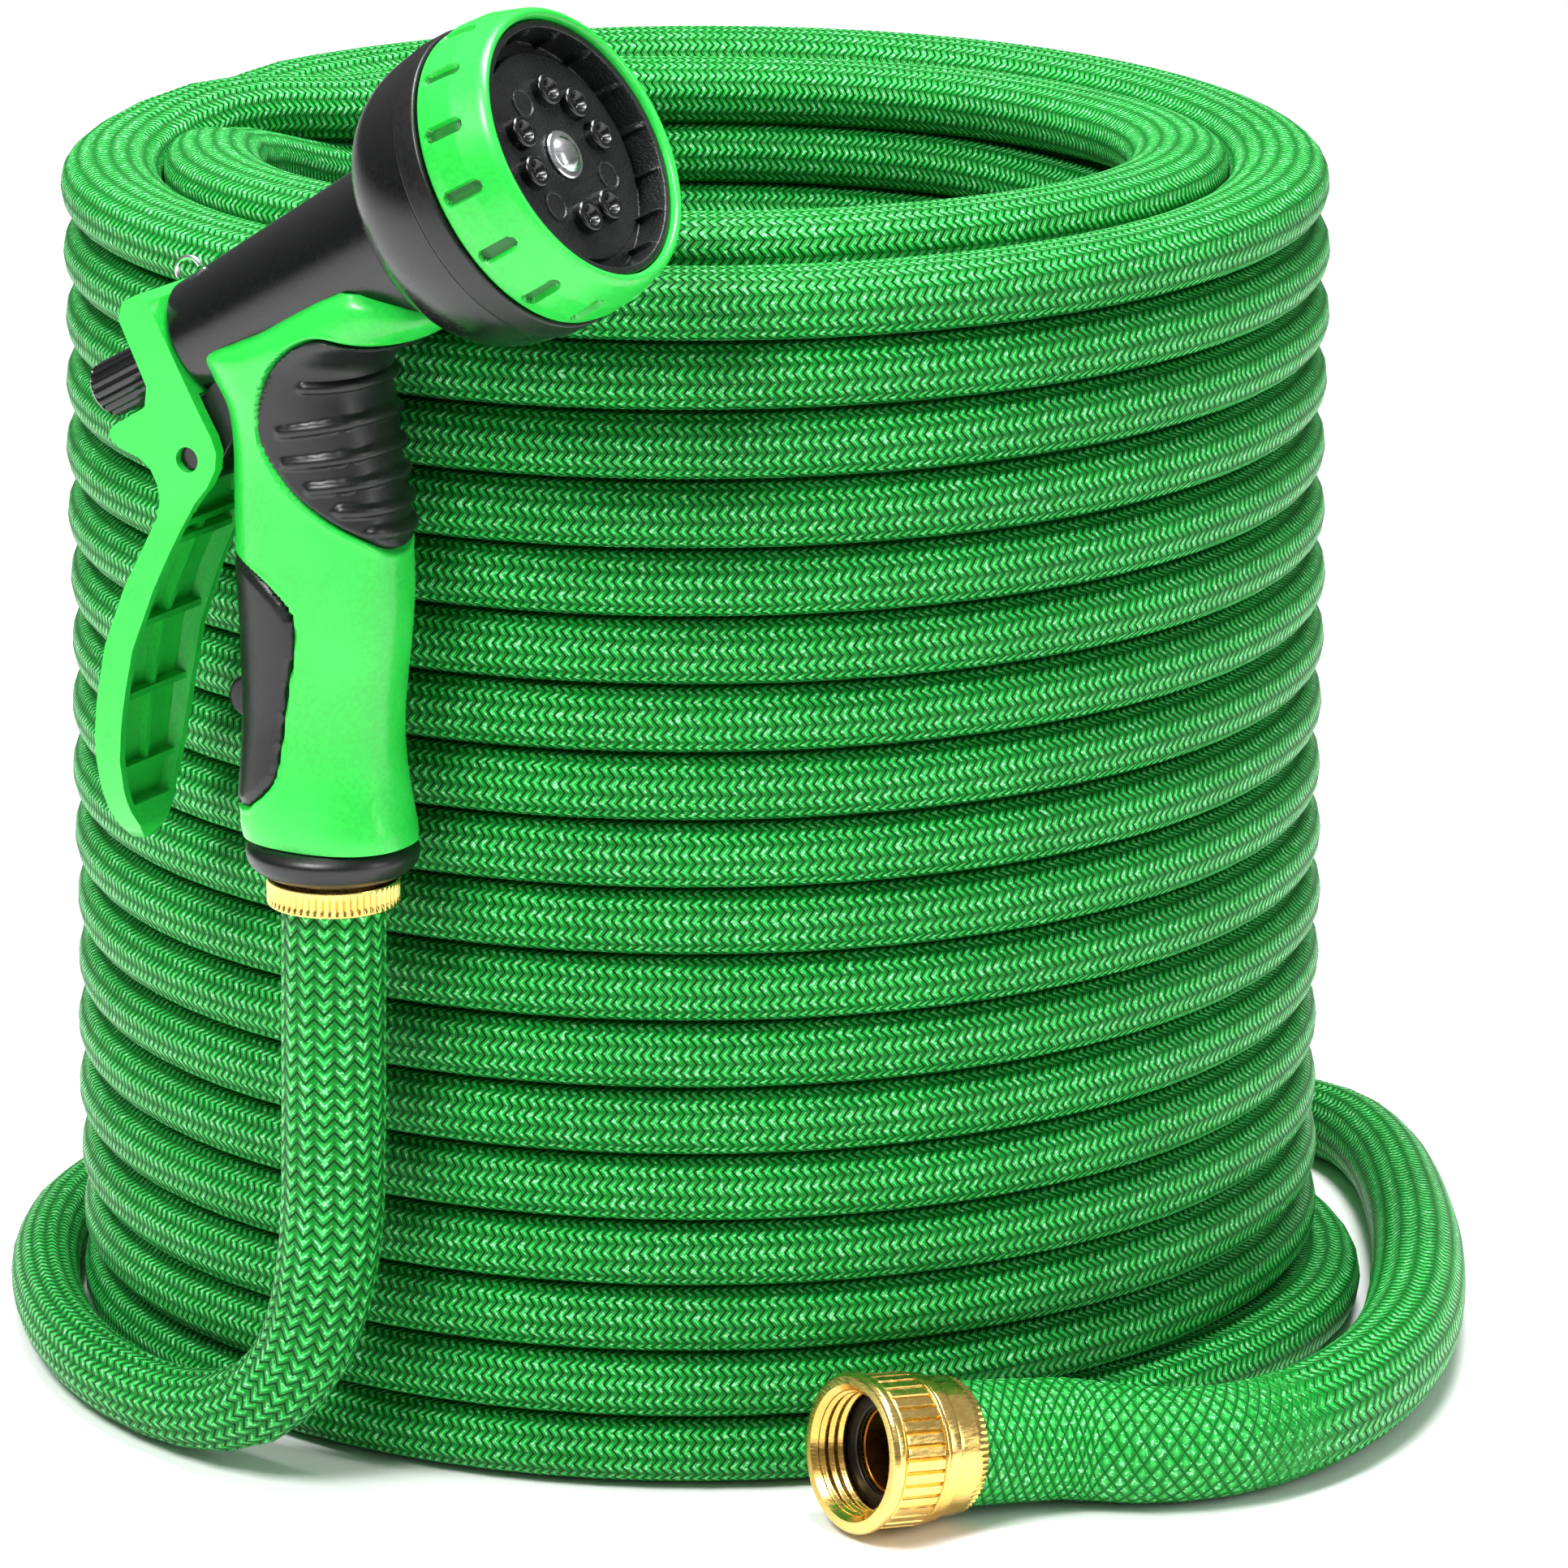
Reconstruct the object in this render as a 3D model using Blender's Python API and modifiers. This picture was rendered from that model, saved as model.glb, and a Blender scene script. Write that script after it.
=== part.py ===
"""Garden hose, coiled in two layers, with its spray nozzle and its tap coupling.

Metres, +Z up. The coil stands on the ground with its axis upright, and the front of the hose faces -Y.
Lengths that end in _MM are millimetres, and every other length is in metres.
"""
import math

import bmesh
import bpy
from mathutils import Vector

MM = 0.001
GAP = 0.0003

# The coil: flattened hose, 18 turns high, two layers thick
COIL_LEVELS = 18
TURN_HEIGHT = 0.0162
TURN_WIDTH = 0.0244
COIL_OUTER_RADIUS = 0.1535
LAYER_SPACING = 0.0245
COIL_STEPS = 28

# The coil's outer radius that the places beside it below were drawn for; they move with COIL_OUTER_RADIUS
DRAWN_COIL_RADIUS_MM = 153.5

# The free ends of the hose, as radii along their routes
HOSE_RADIUS = 0.0110
NOZZLE_END_RADIUS = 0.0122
TAP_END_RADIUS = 0.0148

# Where the nozzle stands: the middle of its brass collar, and the heading of its spray
NOZZLE_PLACE = Vector((-0.0826, -0.1550, 0.1486))
NOZZLE_HEADING = math.radians(30)

# Brass collar and plastic base ring under the handle
COLLAR_RADIUS = 0.0155
COLLAR_HALF_HEIGHT = 0.0031
NECK_RADIUS = 0.0130
NECK_TOP = 0.0038
SPIGOT_RADIUS = 0.0090
BASE_RING_RADIUS = 0.0205
BASE_RING_HEIGHT = 0.0082

# Barrel and spray head, measured along the barrel's axis from the face of the spray disc
HEAD_PLACE_MM = (63.2, 178.9)
BARREL_RISE = math.radians(29)
BARREL_REAR = 0.1093
BARREL_REAR_RADIUS = 0.0143
NECK_BACK = 0.0410
BARREL_NECK_RADIUS = 0.0195
HEAD_RADIUS = 0.0363
BEZEL_REAR = 0.0119
LABEL_RING_LENGTH = 0.0064
BEZEL_FRONT = 0.0065
BEZEL_FRONT_RADIUS = 0.0335
FACE_RADIUS = 0.0309
DISC_RADIUS = 0.0250
FACE_RECESS = 0.0030
SPINDLE_RADIUS = 0.0090
SPINDLE_GAP = 0.0030
SPINDLE_HOLE_DEPTH = 0.0100
HUB_CLEARANCE = 0.0006
BEZEL_WEB = 0.0040
BEZEL_BEVEL = 0.0085
FACE_WALL = 0.0018
FACE_PLATE = 0.0025
FACE_SETBACK = 0.0015
SCREW_RADIUS = 0.0058
SCREW_SHANK_RADIUS = 0.0018
BARREL_STEPS = 32

# Lever, its pivot, and the valve stem that it pulls
LEVER_HALF_WIDTH = 0.0155
LEVER_WALL_MM = 2.8
LEVER_SIDE_WALL = 0.0022
EAR_ROOM_MM = 0.8
MASK_HALF_LENGTH = 0.1300
LEVER_CHANNEL_TOP_MM = 88.0
LEVER_CHANNEL_FOOT_MM = 14.5
EAR_INNER_HALF = 0.0112
PIVOT_MM = (-29.0, 101.0)
PIN_RADIUS = 0.0027
PIN_HALF_LENGTH = 0.0125
LUG_RADIUS_MM = 6.5
LUG_HALF_WIDTH = 0.0106
HOOD_FRONT = 0.1098
HOOD_BACK = 0.1192
HOOD_RISE = 0.0153
STEM_SLOT_HALF = 0.0072
STEM_SLOT_TOP = 0.0092
STEM_SLOT_BOTTOM = 0.0120
STEM_RADIUS = 0.0035
STEM_DEPTH = 0.0200
KNOB_RADIUS = 0.0066
KNOB_FRONT = 0.1214
KNOB_LENGTH = 0.0200

# Handle shell and the two soft grips set into it
GRIP_DEPTH = 0.0030
GRIP_PROUD = 0.0004
SECTION_POINTS = 28
SECTION_SQUARENESS = 2.3

# Tap coupling, measured inward from its mouth
COUPLING_PLACE = Vector((0.0364, -0.1830, 0.0204))
COUPLING_TURN = math.radians(34)
COUPLING_TILT = math.radians(7)
NUT_RADIUS = 0.0189
NUT_WAIST_RADIUS = 0.0181
NUT_LENGTH = 0.0160
SOCKET_RADIUS = 0.0148
MOUTH_RADIUS = 0.0160
SOCKET_DEPTH = 0.0130
SWIVEL_RADIUS = 0.0118
TAIL_FLANGE_RADIUS = 0.0176
TAIL_FLANGE_LENGTH = 0.0033
TAIL_BORE_RADIUS = 0.0096
TAIL_SEAT_THICKNESS = 0.0017
WASHER_THICKNESS = 0.0016
FERRULE_LENGTH = 0.0084
FERRULE_WALL = 0.0014

# Wire loop on the barrel
LOOP_RADIUS = 0.0034
LOOP_RISE = 0.3
LOOP_WIRE_RADIUS = 0.0006
LOOP_BACK = 0.1058

# Side outlines in the nozzle's own plane: forward, and up from the collar, in millimetres
LEVER_BACK_EDGE_MM = [
    (-40.2, 112.0), (-45.3, 108.9), (-49.0, 106.6), (-50.1, 105.2), (-49.9, 103.6), (-47.5, 101.6), (-42.0, 99.9),
    (-39.0, 97.4), (-37.3, 94.1), (-36.7, 90.6), (-37.5, 86.5), (-40.5, 80.7), (-46.7, 68.7), (-51.9, 54.7),
    (-54.7, 40.0), (-55.8, 29.0), (-56.1, 16.6), (-55.5, 8.3), (-54.1, 5.1),
]
LEVER_FRONT_EDGE_MM = [
    (-50.5, 5.4), (-49.3, 9.3), (-49.9, 16.4), (-49.2, 27.1), (-47.4, 39.3), (-44.4, 54.0), (-38.7, 69.0),
    (-35.1, 76.6), (-31.1, 84.2), (-27.1, 91.0), (-23.6, 95.1), (-21.4, 99.4), (-21.0, 103.5), (-22.2, 106.9),
]
# The lever from behind: height, and half its width there
LEVER_WIDTHS_MM = [
    (140.0, 14.6), (112.0, 14.6), (100.0, 14.4), (86.0, 14.2), (72.0, 14.6), (58.0, 15.2), (45.0, 15.4),
    (34.0, 15.0), (26.0, 13.9), (19.0, 11.8), (13.0, 9.0), (8.5, 5.4), (4.5, 1.6),
]
FRONT_GRIP_OUTLINE_MM = [
    (40.0, 76.5), (25.0, 77.0), (20.5, 81.5), (16.0, 86.0), (8.3, 90.9), (0.7, 96.3), (-5.2, 102.6),
    (-8.0, 107.7), (-8.4, 113.1), (-7.2, 118.9), (-3.6, 125.9), (1.7, 131.2), (6.6, 134.1), (12.0, 135.2),
    (20.9, 133.7), (40.0, 131.5),
]
REAR_INSERT_OUTLINE_MM = [
    (-40.0, 82.0), (-22.0, 81.5), (-19.4, 79.8), (-15.2, 78.5), (-8.5, 75.7), (-1.9, 70.6), (0.5, 65.7),
    (0.0, 58.4), (-1.9, 50.1), (-3.1, 41.9), (-4.2, 34.6), (-5.4, 29.1), (-7.6, 25.7), (-11.5, 22.5),
    (-16.7, 19.9), (-40.0, 18.5),
]
INSERT_NUB_MM = (-20.0, 44.0)
INSERT_NUB_RADIUS_MM = 5.0
INSERT_NUB_HALF_WIDTH = 0.0050

# Handle sections: height, back, front and half the width, in millimetres
HANDLE_SECTIONS_MM = [
    (12.6, -21.2, 20.0, 16.8), (16.0, -21.8, 19.8, 17.0), (22.0, -21.8, 18.6, 16.6), (31.0, -21.2, 17.4, 15.6),
    (41.0, -20.7, 17.1, 15.0), (51.0, -20.8, 18.0, 15.2), (61.0, -21.0, 19.2, 15.6), (72.0, -21.5, 20.0, 16.0),
    (84.0, -22.2, 19.6, 16.2), (95.0, -22.2, 18.0, 16.2), (105.0, -22.0, 16.0, 16.6), (114.0, -23.0, 14.4, 17.6),
    (121.0, -26.7, 13.2, 18.8), (126.0, -28.0, 14.0, 19.8), (130.0, -20.0, 19.0, 20.4), (133.5, -12.5, 26.5, 20.8),
    (138.0, -5.0, 31.5, 20.8), (142.5, 3.5, 30.0, 20.0), (145.5, 11.0, 23.0, 18.0),
]

# Free stretches of the hose: x, y, z and radius, in millimetres about the coil's axis on the ground
NOZZLE_RUN_MM = [
    (-83.0, -155.2, 118.0, 12.2), (-83.4, -155.4, 88.0, 12.2), (-84.6, -155.0, 62.0, 12.0),
    (-90.5, -151.0, 36.0, 11.2), (-103.0, -141.5, 18.5, 10.2), (-120.0, -124.5, 10.9, 9.5),
    (-137.5, -101.0, 9.2, 9.1), (-151.0, -72.0, 8.9, 8.8), (-159.5, -38.0, 8.7, 8.6),
    (-163.0, -2.0, 8.6, 8.5), (-160.4, 31.0, 8.5, 8.4), (-153.6, 52.6, 8.5, 8.4), (-146.2, 70.4, 8.5, 8.4),
]
TAP_RUN_MM = [
    (70.1, 145.7, 8.5, 8.4), (86.0, 143.4, 8.5, 8.4), (111.0, 137.4, 8.8, 8.7), (139.0, 123.0, 9.4, 9.3),
    (165.0, 100.1, 9.9, 9.8), (175.4, 68.7, 10.4, 10.2), (179.0, 26.4, 11.0, 10.8), (178.4, -21.6, 11.9, 11.7),
    (172.8, -72.1, 12.4, 12.2), (161.7, -108.7, 12.8, 12.5), (144.0, -138.0, 13.0, 12.8),
    (124.0, -154.5, 13.4, 13.2), (104.0, -159.6, 14.2, 13.8), (86.0, -158.0, 15.2, 14.4),
]
ROUTE_STEP = 0.016


def beside_coil(x, y):
    """A place drawn beside the coil, in metres, moved out or in as far as the coil's outer side is."""
    drawn = Vector((x, y))
    reach = drawn.length + COIL_OUTER_RADIUS - DRAWN_COIL_RADIUS_MM * MM
    return drawn.normalized() * reach


def nozzle_place():
    place = beside_coil(NOZZLE_PLACE.x, NOZZLE_PLACE.y)
    return Vector((place.x, place.y, NOZZLE_PLACE.z))


def coupling_place():
    place = beside_coil(COUPLING_PLACE.x, COUPLING_PLACE.y)
    return Vector((place.x, place.y, COUPLING_PLACE.z))


def run_points(run):
    """The points of a free stretch, in metres, with the radius of the hose last."""
    points = []
    for x, y, z, radius in run:
        place = beside_coil(x * MM, y * MM)
        points.append((place.x, place.y, z * MM, radius * MM))
    return points


def material(name, colour, roughness, metallic=0.0):
    made = bpy.data.materials.new(name)
    made.use_nodes = True
    made.diffuse_color = (*colour, 1.0)
    shader = made.node_tree.nodes["Principled BSDF"]
    shader.inputs["Base Color"].default_value = (*colour, 1.0)
    shader.inputs["Roughness"].default_value = roughness
    shader.inputs["Metallic"].default_value = metallic
    return made


def materials():
    return {
        "hose": material("green_braid", (0.011, 0.31, 0.045), 0.55),
        "green": material("green_plastic", (0.05, 0.72, 0.09), 0.35),
        "black": material("black_plastic", (0.012, 0.012, 0.013), 0.4),
        "rubber": material("black_rubber", (0.010, 0.010, 0.011), 0.7),
        "brass": material("brass", (0.72, 0.50, 0.16), 0.28, 1.0),
        "steel": material("steel", (0.62, 0.63, 0.65), 0.3, 1.0),
    }


def empty(name, parent=None):
    made = bpy.data.objects.new(name, None)
    bpy.context.scene.collection.objects.link(made)
    made.parent = parent
    return made


def put(collection, name, data, parent, finish):
    made = bpy.data.objects.new(name, data)
    collection.objects.link(made)
    made.parent = parent
    data.materials.append(finish)
    return made


def turned(collection, name, profile, parent, finish, steps=BARREL_STEPS, closed=True):
    """A profile of (radius, height) points, outer side first and downward, turned about Z."""
    mesh = bpy.data.meshes.new(name)
    count = len(profile)
    edges = [(i, (i + 1) % count) for i in range(count if closed else count - 1)]
    mesh.from_pydata([(r, 0.0, z) for r, z in profile], edges, [])
    made = put(collection, name, mesh, parent, finish)
    screw = made.modifiers.new("turn", "SCREW")
    screw.steps = steps
    screw.render_steps = steps
    screw.use_merge_vertices = True
    screw.merge_threshold = 0.00001
    screw.use_smooth_shade = False
    return made


def solid_mesh(made, name):
    """The evaluated shape of a curve or a modified mesh, with its loose caps welded, as a mesh."""
    graph = bpy.context.evaluated_depsgraph_get()
    graph.update()
    mesh = bpy.data.meshes.new_from_object(made.evaluated_get(graph))
    mesh.name = name
    work = bmesh.new()
    work.from_mesh(mesh)
    bmesh.ops.remove_doubles(work, verts=work.verts, dist=0.000001)
    work.to_mesh(mesh)
    work.free()
    return mesh


def plate(collection, name, outline_mm, half_width, parent, finish):
    """A flat outline in the nozzle's side view, as thick as twice its half width."""
    curve = bpy.data.curves.new(name + "_outline", "CURVE")
    curve.dimensions = "2D"
    curve.fill_mode = "BOTH"
    curve.extrude = half_width
    spline = curve.splines.new("POLY")
    spline.points.add(len(outline_mm) - 1)
    for point, (forward, up) in zip(spline.points, outline_mm):
        point.co = (forward * MM, up * MM, 0.0, 1.0)
    spline.use_cyclic_u = True
    drawn = bpy.data.objects.new(name + "_outline", curve)
    collection.objects.link(drawn)
    mesh = solid_mesh(drawn, name)
    bpy.data.objects.remove(drawn)
    made = put(collection, name, mesh, parent, finish)
    made.rotation_euler = (math.radians(90), 0.0, 0.0)
    return made


def rod(collection, name, radius, half_length, parent, finish, sides=16):
    """A round bar that lies across the nozzle."""
    mesh = bpy.data.meshes.new(name)
    work = bmesh.new()
    bmesh.ops.create_cone(
        work, cap_ends=True, segments=sides, radius1=radius, radius2=radius, depth=2 * half_length)
    work.to_mesh(mesh)
    work.free()
    made = put(collection, name, mesh, parent, finish)
    made.rotation_euler = (math.radians(90), 0.0, 0.0)
    return made


def loft(collection, name, rings, parent, finish):
    """A closed skin through rings of equal length, first ring lowest."""
    work = bmesh.new()
    rows = [[work.verts.new(point) for point in ring] for ring in rings]
    count = len(rows[0])
    for low, high in zip(rows, rows[1:]):
        for i in range(count):
            j = (i + 1) % count
            work.faces.new((low[i], low[j], high[j], high[i]))
    work.faces.new(list(reversed(rows[0])))
    work.faces.new(rows[-1])
    mesh = bpy.data.meshes.new(name)
    work.to_mesh(mesh)
    work.free()
    return put(collection, name, mesh, parent, finish)


def hide(cutter):
    cutter.hide_render = True
    cutter.display_type = "WIRE"
    return cutter


def cut(target, cutter, operation="DIFFERENCE"):
    modifier = target.modifiers.new(operation.lower(), "BOOLEAN")
    modifier.operation = operation
    modifier.solver = "EXACT"
    modifier.object = hide(cutter)


def smooth_route(points, step=ROUTE_STEP):
    """Points of a centripetal spline through a route, each x, y, z and radius, a step apart."""
    route = [Vector(p) for p in points]
    route = [route[0] * 2 - route[1], *route, route[-1] * 2 - route[-2]]
    out = []
    for p0, p1, p2, p3 in zip(route, route[1:], route[2:], route[3:]):
        pieces = max(1, round((p2.xyz - p1.xyz).length / step))
        for i in range(pieces):
            t = i / pieces
            out.append(0.5 * (
                2 * p1 + (p2 - p0) * t + (2 * p0 - 5 * p1 + 4 * p2 - p3) * t ** 2
                + (3 * p1 - p0 - 3 * p2 + p3) * t ** 3))
    out.append(route[-2])
    return out


def tube(collection, name, route, parent, finish):
    """A round tube along points of x, y, z and radius, with filled ends."""
    curve = bpy.data.curves.new(name, "CURVE")
    curve.dimensions = "3D"
    curve.bevel_depth = HOSE_RADIUS
    curve.bevel_resolution = 3
    curve.use_fill_caps = True
    spline = curve.splines.new("POLY")
    spline.points.add(len(route) - 1)
    for point, place in zip(spline.points, route):
        point.co = (place.x, place.y, place.z, 1.0)
        point.radius = place.w / HOSE_RADIUS
    return put(collection, name, curve, parent, finish)


def coil_profile():
    """Section of the coil: a bulge for each turn outside and in the bore, and two rounded tops."""
    half_width = TURN_WIDTH / 2
    half_height = TURN_HEIGHT / 2
    outer = COIL_OUTER_RADIUS - half_width
    inner = outer - LAYER_SPACING
    top = (COIL_LEVELS - 0.5) * TURN_HEIGHT
    points = []

    def bulge(centre, height, *angles):
        for angle in angles:
            points.append((
                centre + half_width * math.cos(math.radians(angle)),
                height + half_height * math.sin(math.radians(angle))))

    bulge(inner, top, 140, 90, 55)
    bulge(outer, top, 125, 90, 45)
    for level in reversed(range(COIL_LEVELS)):
        bulge(outer, (level + 0.5) * TURN_HEIGHT, *((0, -48) if level == COIL_LEVELS - 1 else (48, 0, -48)))
    points[-1] = (outer, 0.0)
    points.append((inner, 0.0))
    for level in range(COIL_LEVELS):
        height = (level + 0.5) * TURN_HEIGHT
        bulge(inner, height, *((180,) if level == COIL_LEVELS - 1 else (180, 132)))
    return points


def hose_parts(collection, root, look):
    turned(collection, "hose_coil", coil_profile(), root, look["hose"], steps=COIL_STEPS)
    place = nozzle_place()
    start = (place.x, place.y, place.z - COLLAR_HALF_HEIGHT - GAP, NOZZLE_END_RADIUS)
    tube(collection, "hose_run_nozzle", smooth_route([start, *run_points(NOZZLE_RUN_MM)]), root, look["hose"])
    inward = coupling_direction()
    ends = []
    for depth in (coupling_depths()["hose"] + FERRULE_LENGTH, coupling_depths()["hose"]):
        end = coupling_place() + inward * depth
        ends.append((*end, TAP_END_RADIUS))
    tube(collection, "hose_run_tap", smooth_route([*run_points(TAP_RUN_MM), *ends]), root, look["hose"])


def fitting_parts(collection, frame, look):
    ring_foot = NECK_TOP + GAP
    ring_top = ring_foot + BASE_RING_HEIGHT
    turned(collection, "hose_male_fitting", [
        (0.0, ring_top - GAP), (SPIGOT_RADIUS, ring_top - GAP), (SPIGOT_RADIUS, NECK_TOP),
        (NECK_RADIUS, NECK_TOP), (NECK_RADIUS, COLLAR_HALF_HEIGHT), (COLLAR_RADIUS, COLLAR_HALF_HEIGHT),
        (COLLAR_RADIUS, -COLLAR_HALF_HEIGHT), (0.0, -COLLAR_HALF_HEIGHT),
    ], frame, look["brass"], steps=36, closed=False)
    slope = 0.0022
    turned(collection, "handle_base_ring", [
        (BASE_RING_RADIUS - slope, ring_top), (BASE_RING_RADIUS, ring_top - slope),
        (BASE_RING_RADIUS - slope / 2, ring_foot + slope), (BASE_RING_RADIUS - 2 * slope, ring_foot),
        (SPIGOT_RADIUS + GAP, ring_foot), (SPIGOT_RADIUS + GAP, ring_top),
    ], frame, look["black"], steps=36)


def section_ring(section, grow=0.0):
    """A rounded section of the handle, made larger by grow."""
    height, back, front, half = (value * MM for value in section)
    middle = (back + front) / 2
    length = (front - back) / 2 + grow
    width = half + grow
    power = 2 / SECTION_SQUARENESS
    ring = []
    for i in range(SECTION_POINTS):
        angle = 2 * math.pi * i / SECTION_POINTS
        c = math.cos(angle)
        s = math.sin(angle)
        ring.append((
            middle + length * math.copysign(abs(c) ** power, c),
            width * math.copysign(abs(s) ** power, s),
            height))
    return ring


def handle_shape(collection, name, grow, frame, finish):
    return loft(collection, name, [section_ring(s, grow) for s in HANDLE_SECTIONS_MM], frame, finish)


def grown(outline, amount_mm):
    """An outline moved outward by an amount, corner by corner."""
    area = sum(a[0] * b[1] - b[0] * a[1] for a, b in zip(outline, outline[1:] + outline[:1]))
    side = 1.0 if area > 0 else -1.0
    out = []
    for i, here in enumerate(outline):
        before = Vector(here) - Vector(outline[i - 1])
        after = Vector(outline[(i + 1) % len(outline)]) - Vector(here)
        normal = Vector((before.y, -before.x)).normalized() + Vector((after.y, -after.x)).normalized()
        moved = Vector(here) + normal.normalized() * side * amount_mm
        out.append(tuple(moved))
    return out


def barrel_profile(extra=0.0):
    """The barrel's outer side from the head back to its rear end, as (radius, height) points."""
    dome_front = -BEZEL_REAR - LABEL_RING_LENGTH - 2 * GAP
    points = []
    for i in range(7):
        angle = math.radians(90 * i / 6)
        radius = BARREL_NECK_RADIUS + (HEAD_RADIUS - 0.0006 - BARREL_NECK_RADIUS) * math.cos(angle) ** 0.9
        points.append((radius + extra, dome_front - (NECK_BACK + dome_front) * math.sin(angle)))
    points.append((BARREL_REAR_RADIUS + extra, -BARREL_REAR - extra))
    return points


def lug_outline():
    forward, up = PIVOT_MM
    arc = [(forward + LUG_RADIUS_MM * math.cos(math.radians(a)), up + LUG_RADIUS_MM * math.sin(math.radians(a)))
           for a in range(160, 340, 20)]
    heel = along_barrel(BARREL_REAR - 0.0005, -0.0118)
    return [(-17.0, 116.0), (-24.0, 120.0), heel, (-31.0, 113.0), *arc, (-19.0, 106.0)]


def barrel_parts(collection, cutters, nozzle, barrel, look):
    face = -BEZEL_REAR - LABEL_RING_LENGTH - 2 * GAP
    spindle_end = -FACE_RECESS - 2 * GAP - SPINDLE_GAP
    outer = barrel_profile()
    bore = STEM_RADIUS + GAP
    bore_end = -BARREL_REAR + STEM_DEPTH
    made = turned(collection, "nozzle_barrel", [
        (SCREW_SHANK_RADIUS + GAP, spindle_end), (SPINDLE_RADIUS, spindle_end), (SPINDLE_RADIUS, face), *outer,
        (bore, -BARREL_REAR), (bore, bore_end), (0.0, bore_end), (0.0, spindle_end - SPINDLE_HOLE_DEPTH),
        (SCREW_SHANK_RADIUS + GAP, spindle_end - SPINDLE_HOLE_DEPTH),
    ], barrel, look["black"])
    lug = plate(cutters, "pivot_lug", lug_outline(), LUG_HALF_WIDTH, nozzle, look["black"])
    cut(made, lug, "UNION")
    hole = rod(cutters, "pivot_hole", PIN_RADIUS + GAP, 2 * LEVER_HALF_WIDTH, nozzle, look["black"])
    hole.location = (PIVOT_MM[0] * MM, 0.0, PIVOT_MM[1] * MM)
    cut(made, hole)
    pin = rod(collection, "lever_pin", PIN_RADIUS, PIN_HALF_LENGTH, nozzle, look["black"])
    pin.location = hole.location
    wire = bpy.data.curves.new("barrel_loop", "CURVE")
    wire.dimensions = "3D"
    wire.bevel_depth = LOOP_WIRE_RADIUS
    wire.bevel_resolution = 2
    wire.use_fill_caps = True
    spline = wire.splines.new("POLY")
    share = (BARREL_REAR - LOOP_BACK) / (BARREL_REAR - NECK_BACK)
    seat = BARREL_REAR_RADIUS + (BARREL_NECK_RADIUS - BARREL_REAR_RADIUS) * share
    rise = LOOP_RISE * LOOP_RADIUS
    reach = math.acos(-(rise - LOOP_WIRE_RADIUS - 2 * GAP) / LOOP_RADIUS)
    spline.points.add(16)
    for i, point in enumerate(spline.points):
        angle = reach * (i / 8 - 1)
        height = seat + rise + LOOP_RADIUS * math.cos(angle)
        point.co = (-height, 0.0, -LOOP_BACK + LOOP_RADIUS * math.sin(angle), 1.0)
    put(collection, "barrel_loop", wire, barrel, look["steel"])
    return made


def head_parts(collection, barrel, look):
    front = BEZEL_FRONT
    back = -BEZEL_REAR
    web_front = back + BEZEL_WEB
    bore = SPINDLE_RADIUS + HUB_CLEARANCE
    turned(collection, "head_bezel", [
        (FACE_RADIUS + 0.0008, front), (BEZEL_FRONT_RADIUS - 0.0010, front), (BEZEL_FRONT_RADIUS, front - 0.0012),
        (HEAD_RADIUS - 0.0006, front - BEZEL_BEVEL), (HEAD_RADIUS - 0.0002, back + BEZEL_WEB),
        (HEAD_RADIUS - 0.0008, back), (bore, back), (bore, web_front), (FACE_RADIUS, web_front),
        (FACE_RADIUS, front - 0.0006),
    ], barrel, look["green"], steps=40)
    label_front = back - GAP
    turned(collection, "head_label_ring", [
        (HEAD_RADIUS, label_front), (HEAD_RADIUS, label_front - LABEL_RING_LENGTH),
        (bore, label_front - LABEL_RING_LENGTH), (bore, label_front),
    ], barrel, look["black"], steps=40)
    wall = FACE_RADIUS - GAP
    shank = SCREW_SHANK_RADIUS + 2 * GAP
    turned(collection, "head_face", [
        (wall, front - FACE_SETBACK), (wall, web_front + GAP), (bore, web_front + GAP),
        (bore, -FACE_RECESS - FACE_PLATE), (shank, -FACE_RECESS - FACE_PLATE), (shank, 0.0), (DISC_RADIUS, 0.0),
        (DISC_RADIUS, -FACE_RECESS), (wall - FACE_WALL, -FACE_RECESS), (wall - FACE_WALL, front - FACE_SETBACK),
    ], barrel, look["black"], steps=40)
    shank_end = -FACE_RECESS - SPINDLE_GAP - SPINDLE_HOLE_DEPTH
    turned(collection, "head_screw", [
        (0.0, 0.0022), (SCREW_RADIUS * 0.6, 0.0020), (SCREW_RADIUS, 0.0010), (SCREW_RADIUS, GAP),
        (SCREW_SHANK_RADIUS, GAP), (SCREW_SHANK_RADIUS, shank_end), (0.0, shank_end),
    ], barrel, look["steel"], steps=20, closed=False)


def along_barrel(back, rise=0.0):
    """A point on or above the barrel's axis, as forward and up in millimetres."""
    forward, up = HEAD_PLACE_MM
    c = math.cos(BARREL_RISE)
    s = math.sin(BARREL_RISE)
    return (forward + (-back * c - rise * s) / MM, up + (-back * s + rise * c) / MM)


def lever_outline():
    hood = [
        along_barrel(HOOD_FRONT, -0.0150), along_barrel(HOOD_FRONT, 0.0128),
        along_barrel(HOOD_FRONT + 0.0025, HOOD_RISE),
        along_barrel(HOOD_BACK - 0.0030, HOOD_RISE), along_barrel(HOOD_BACK, 0.0122),
        along_barrel(HOOD_BACK + 0.0008, -0.0044),
    ]
    return [*hood, *LEVER_BACK_EDGE_MM, *LEVER_FRONT_EDGE_MM]


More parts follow.
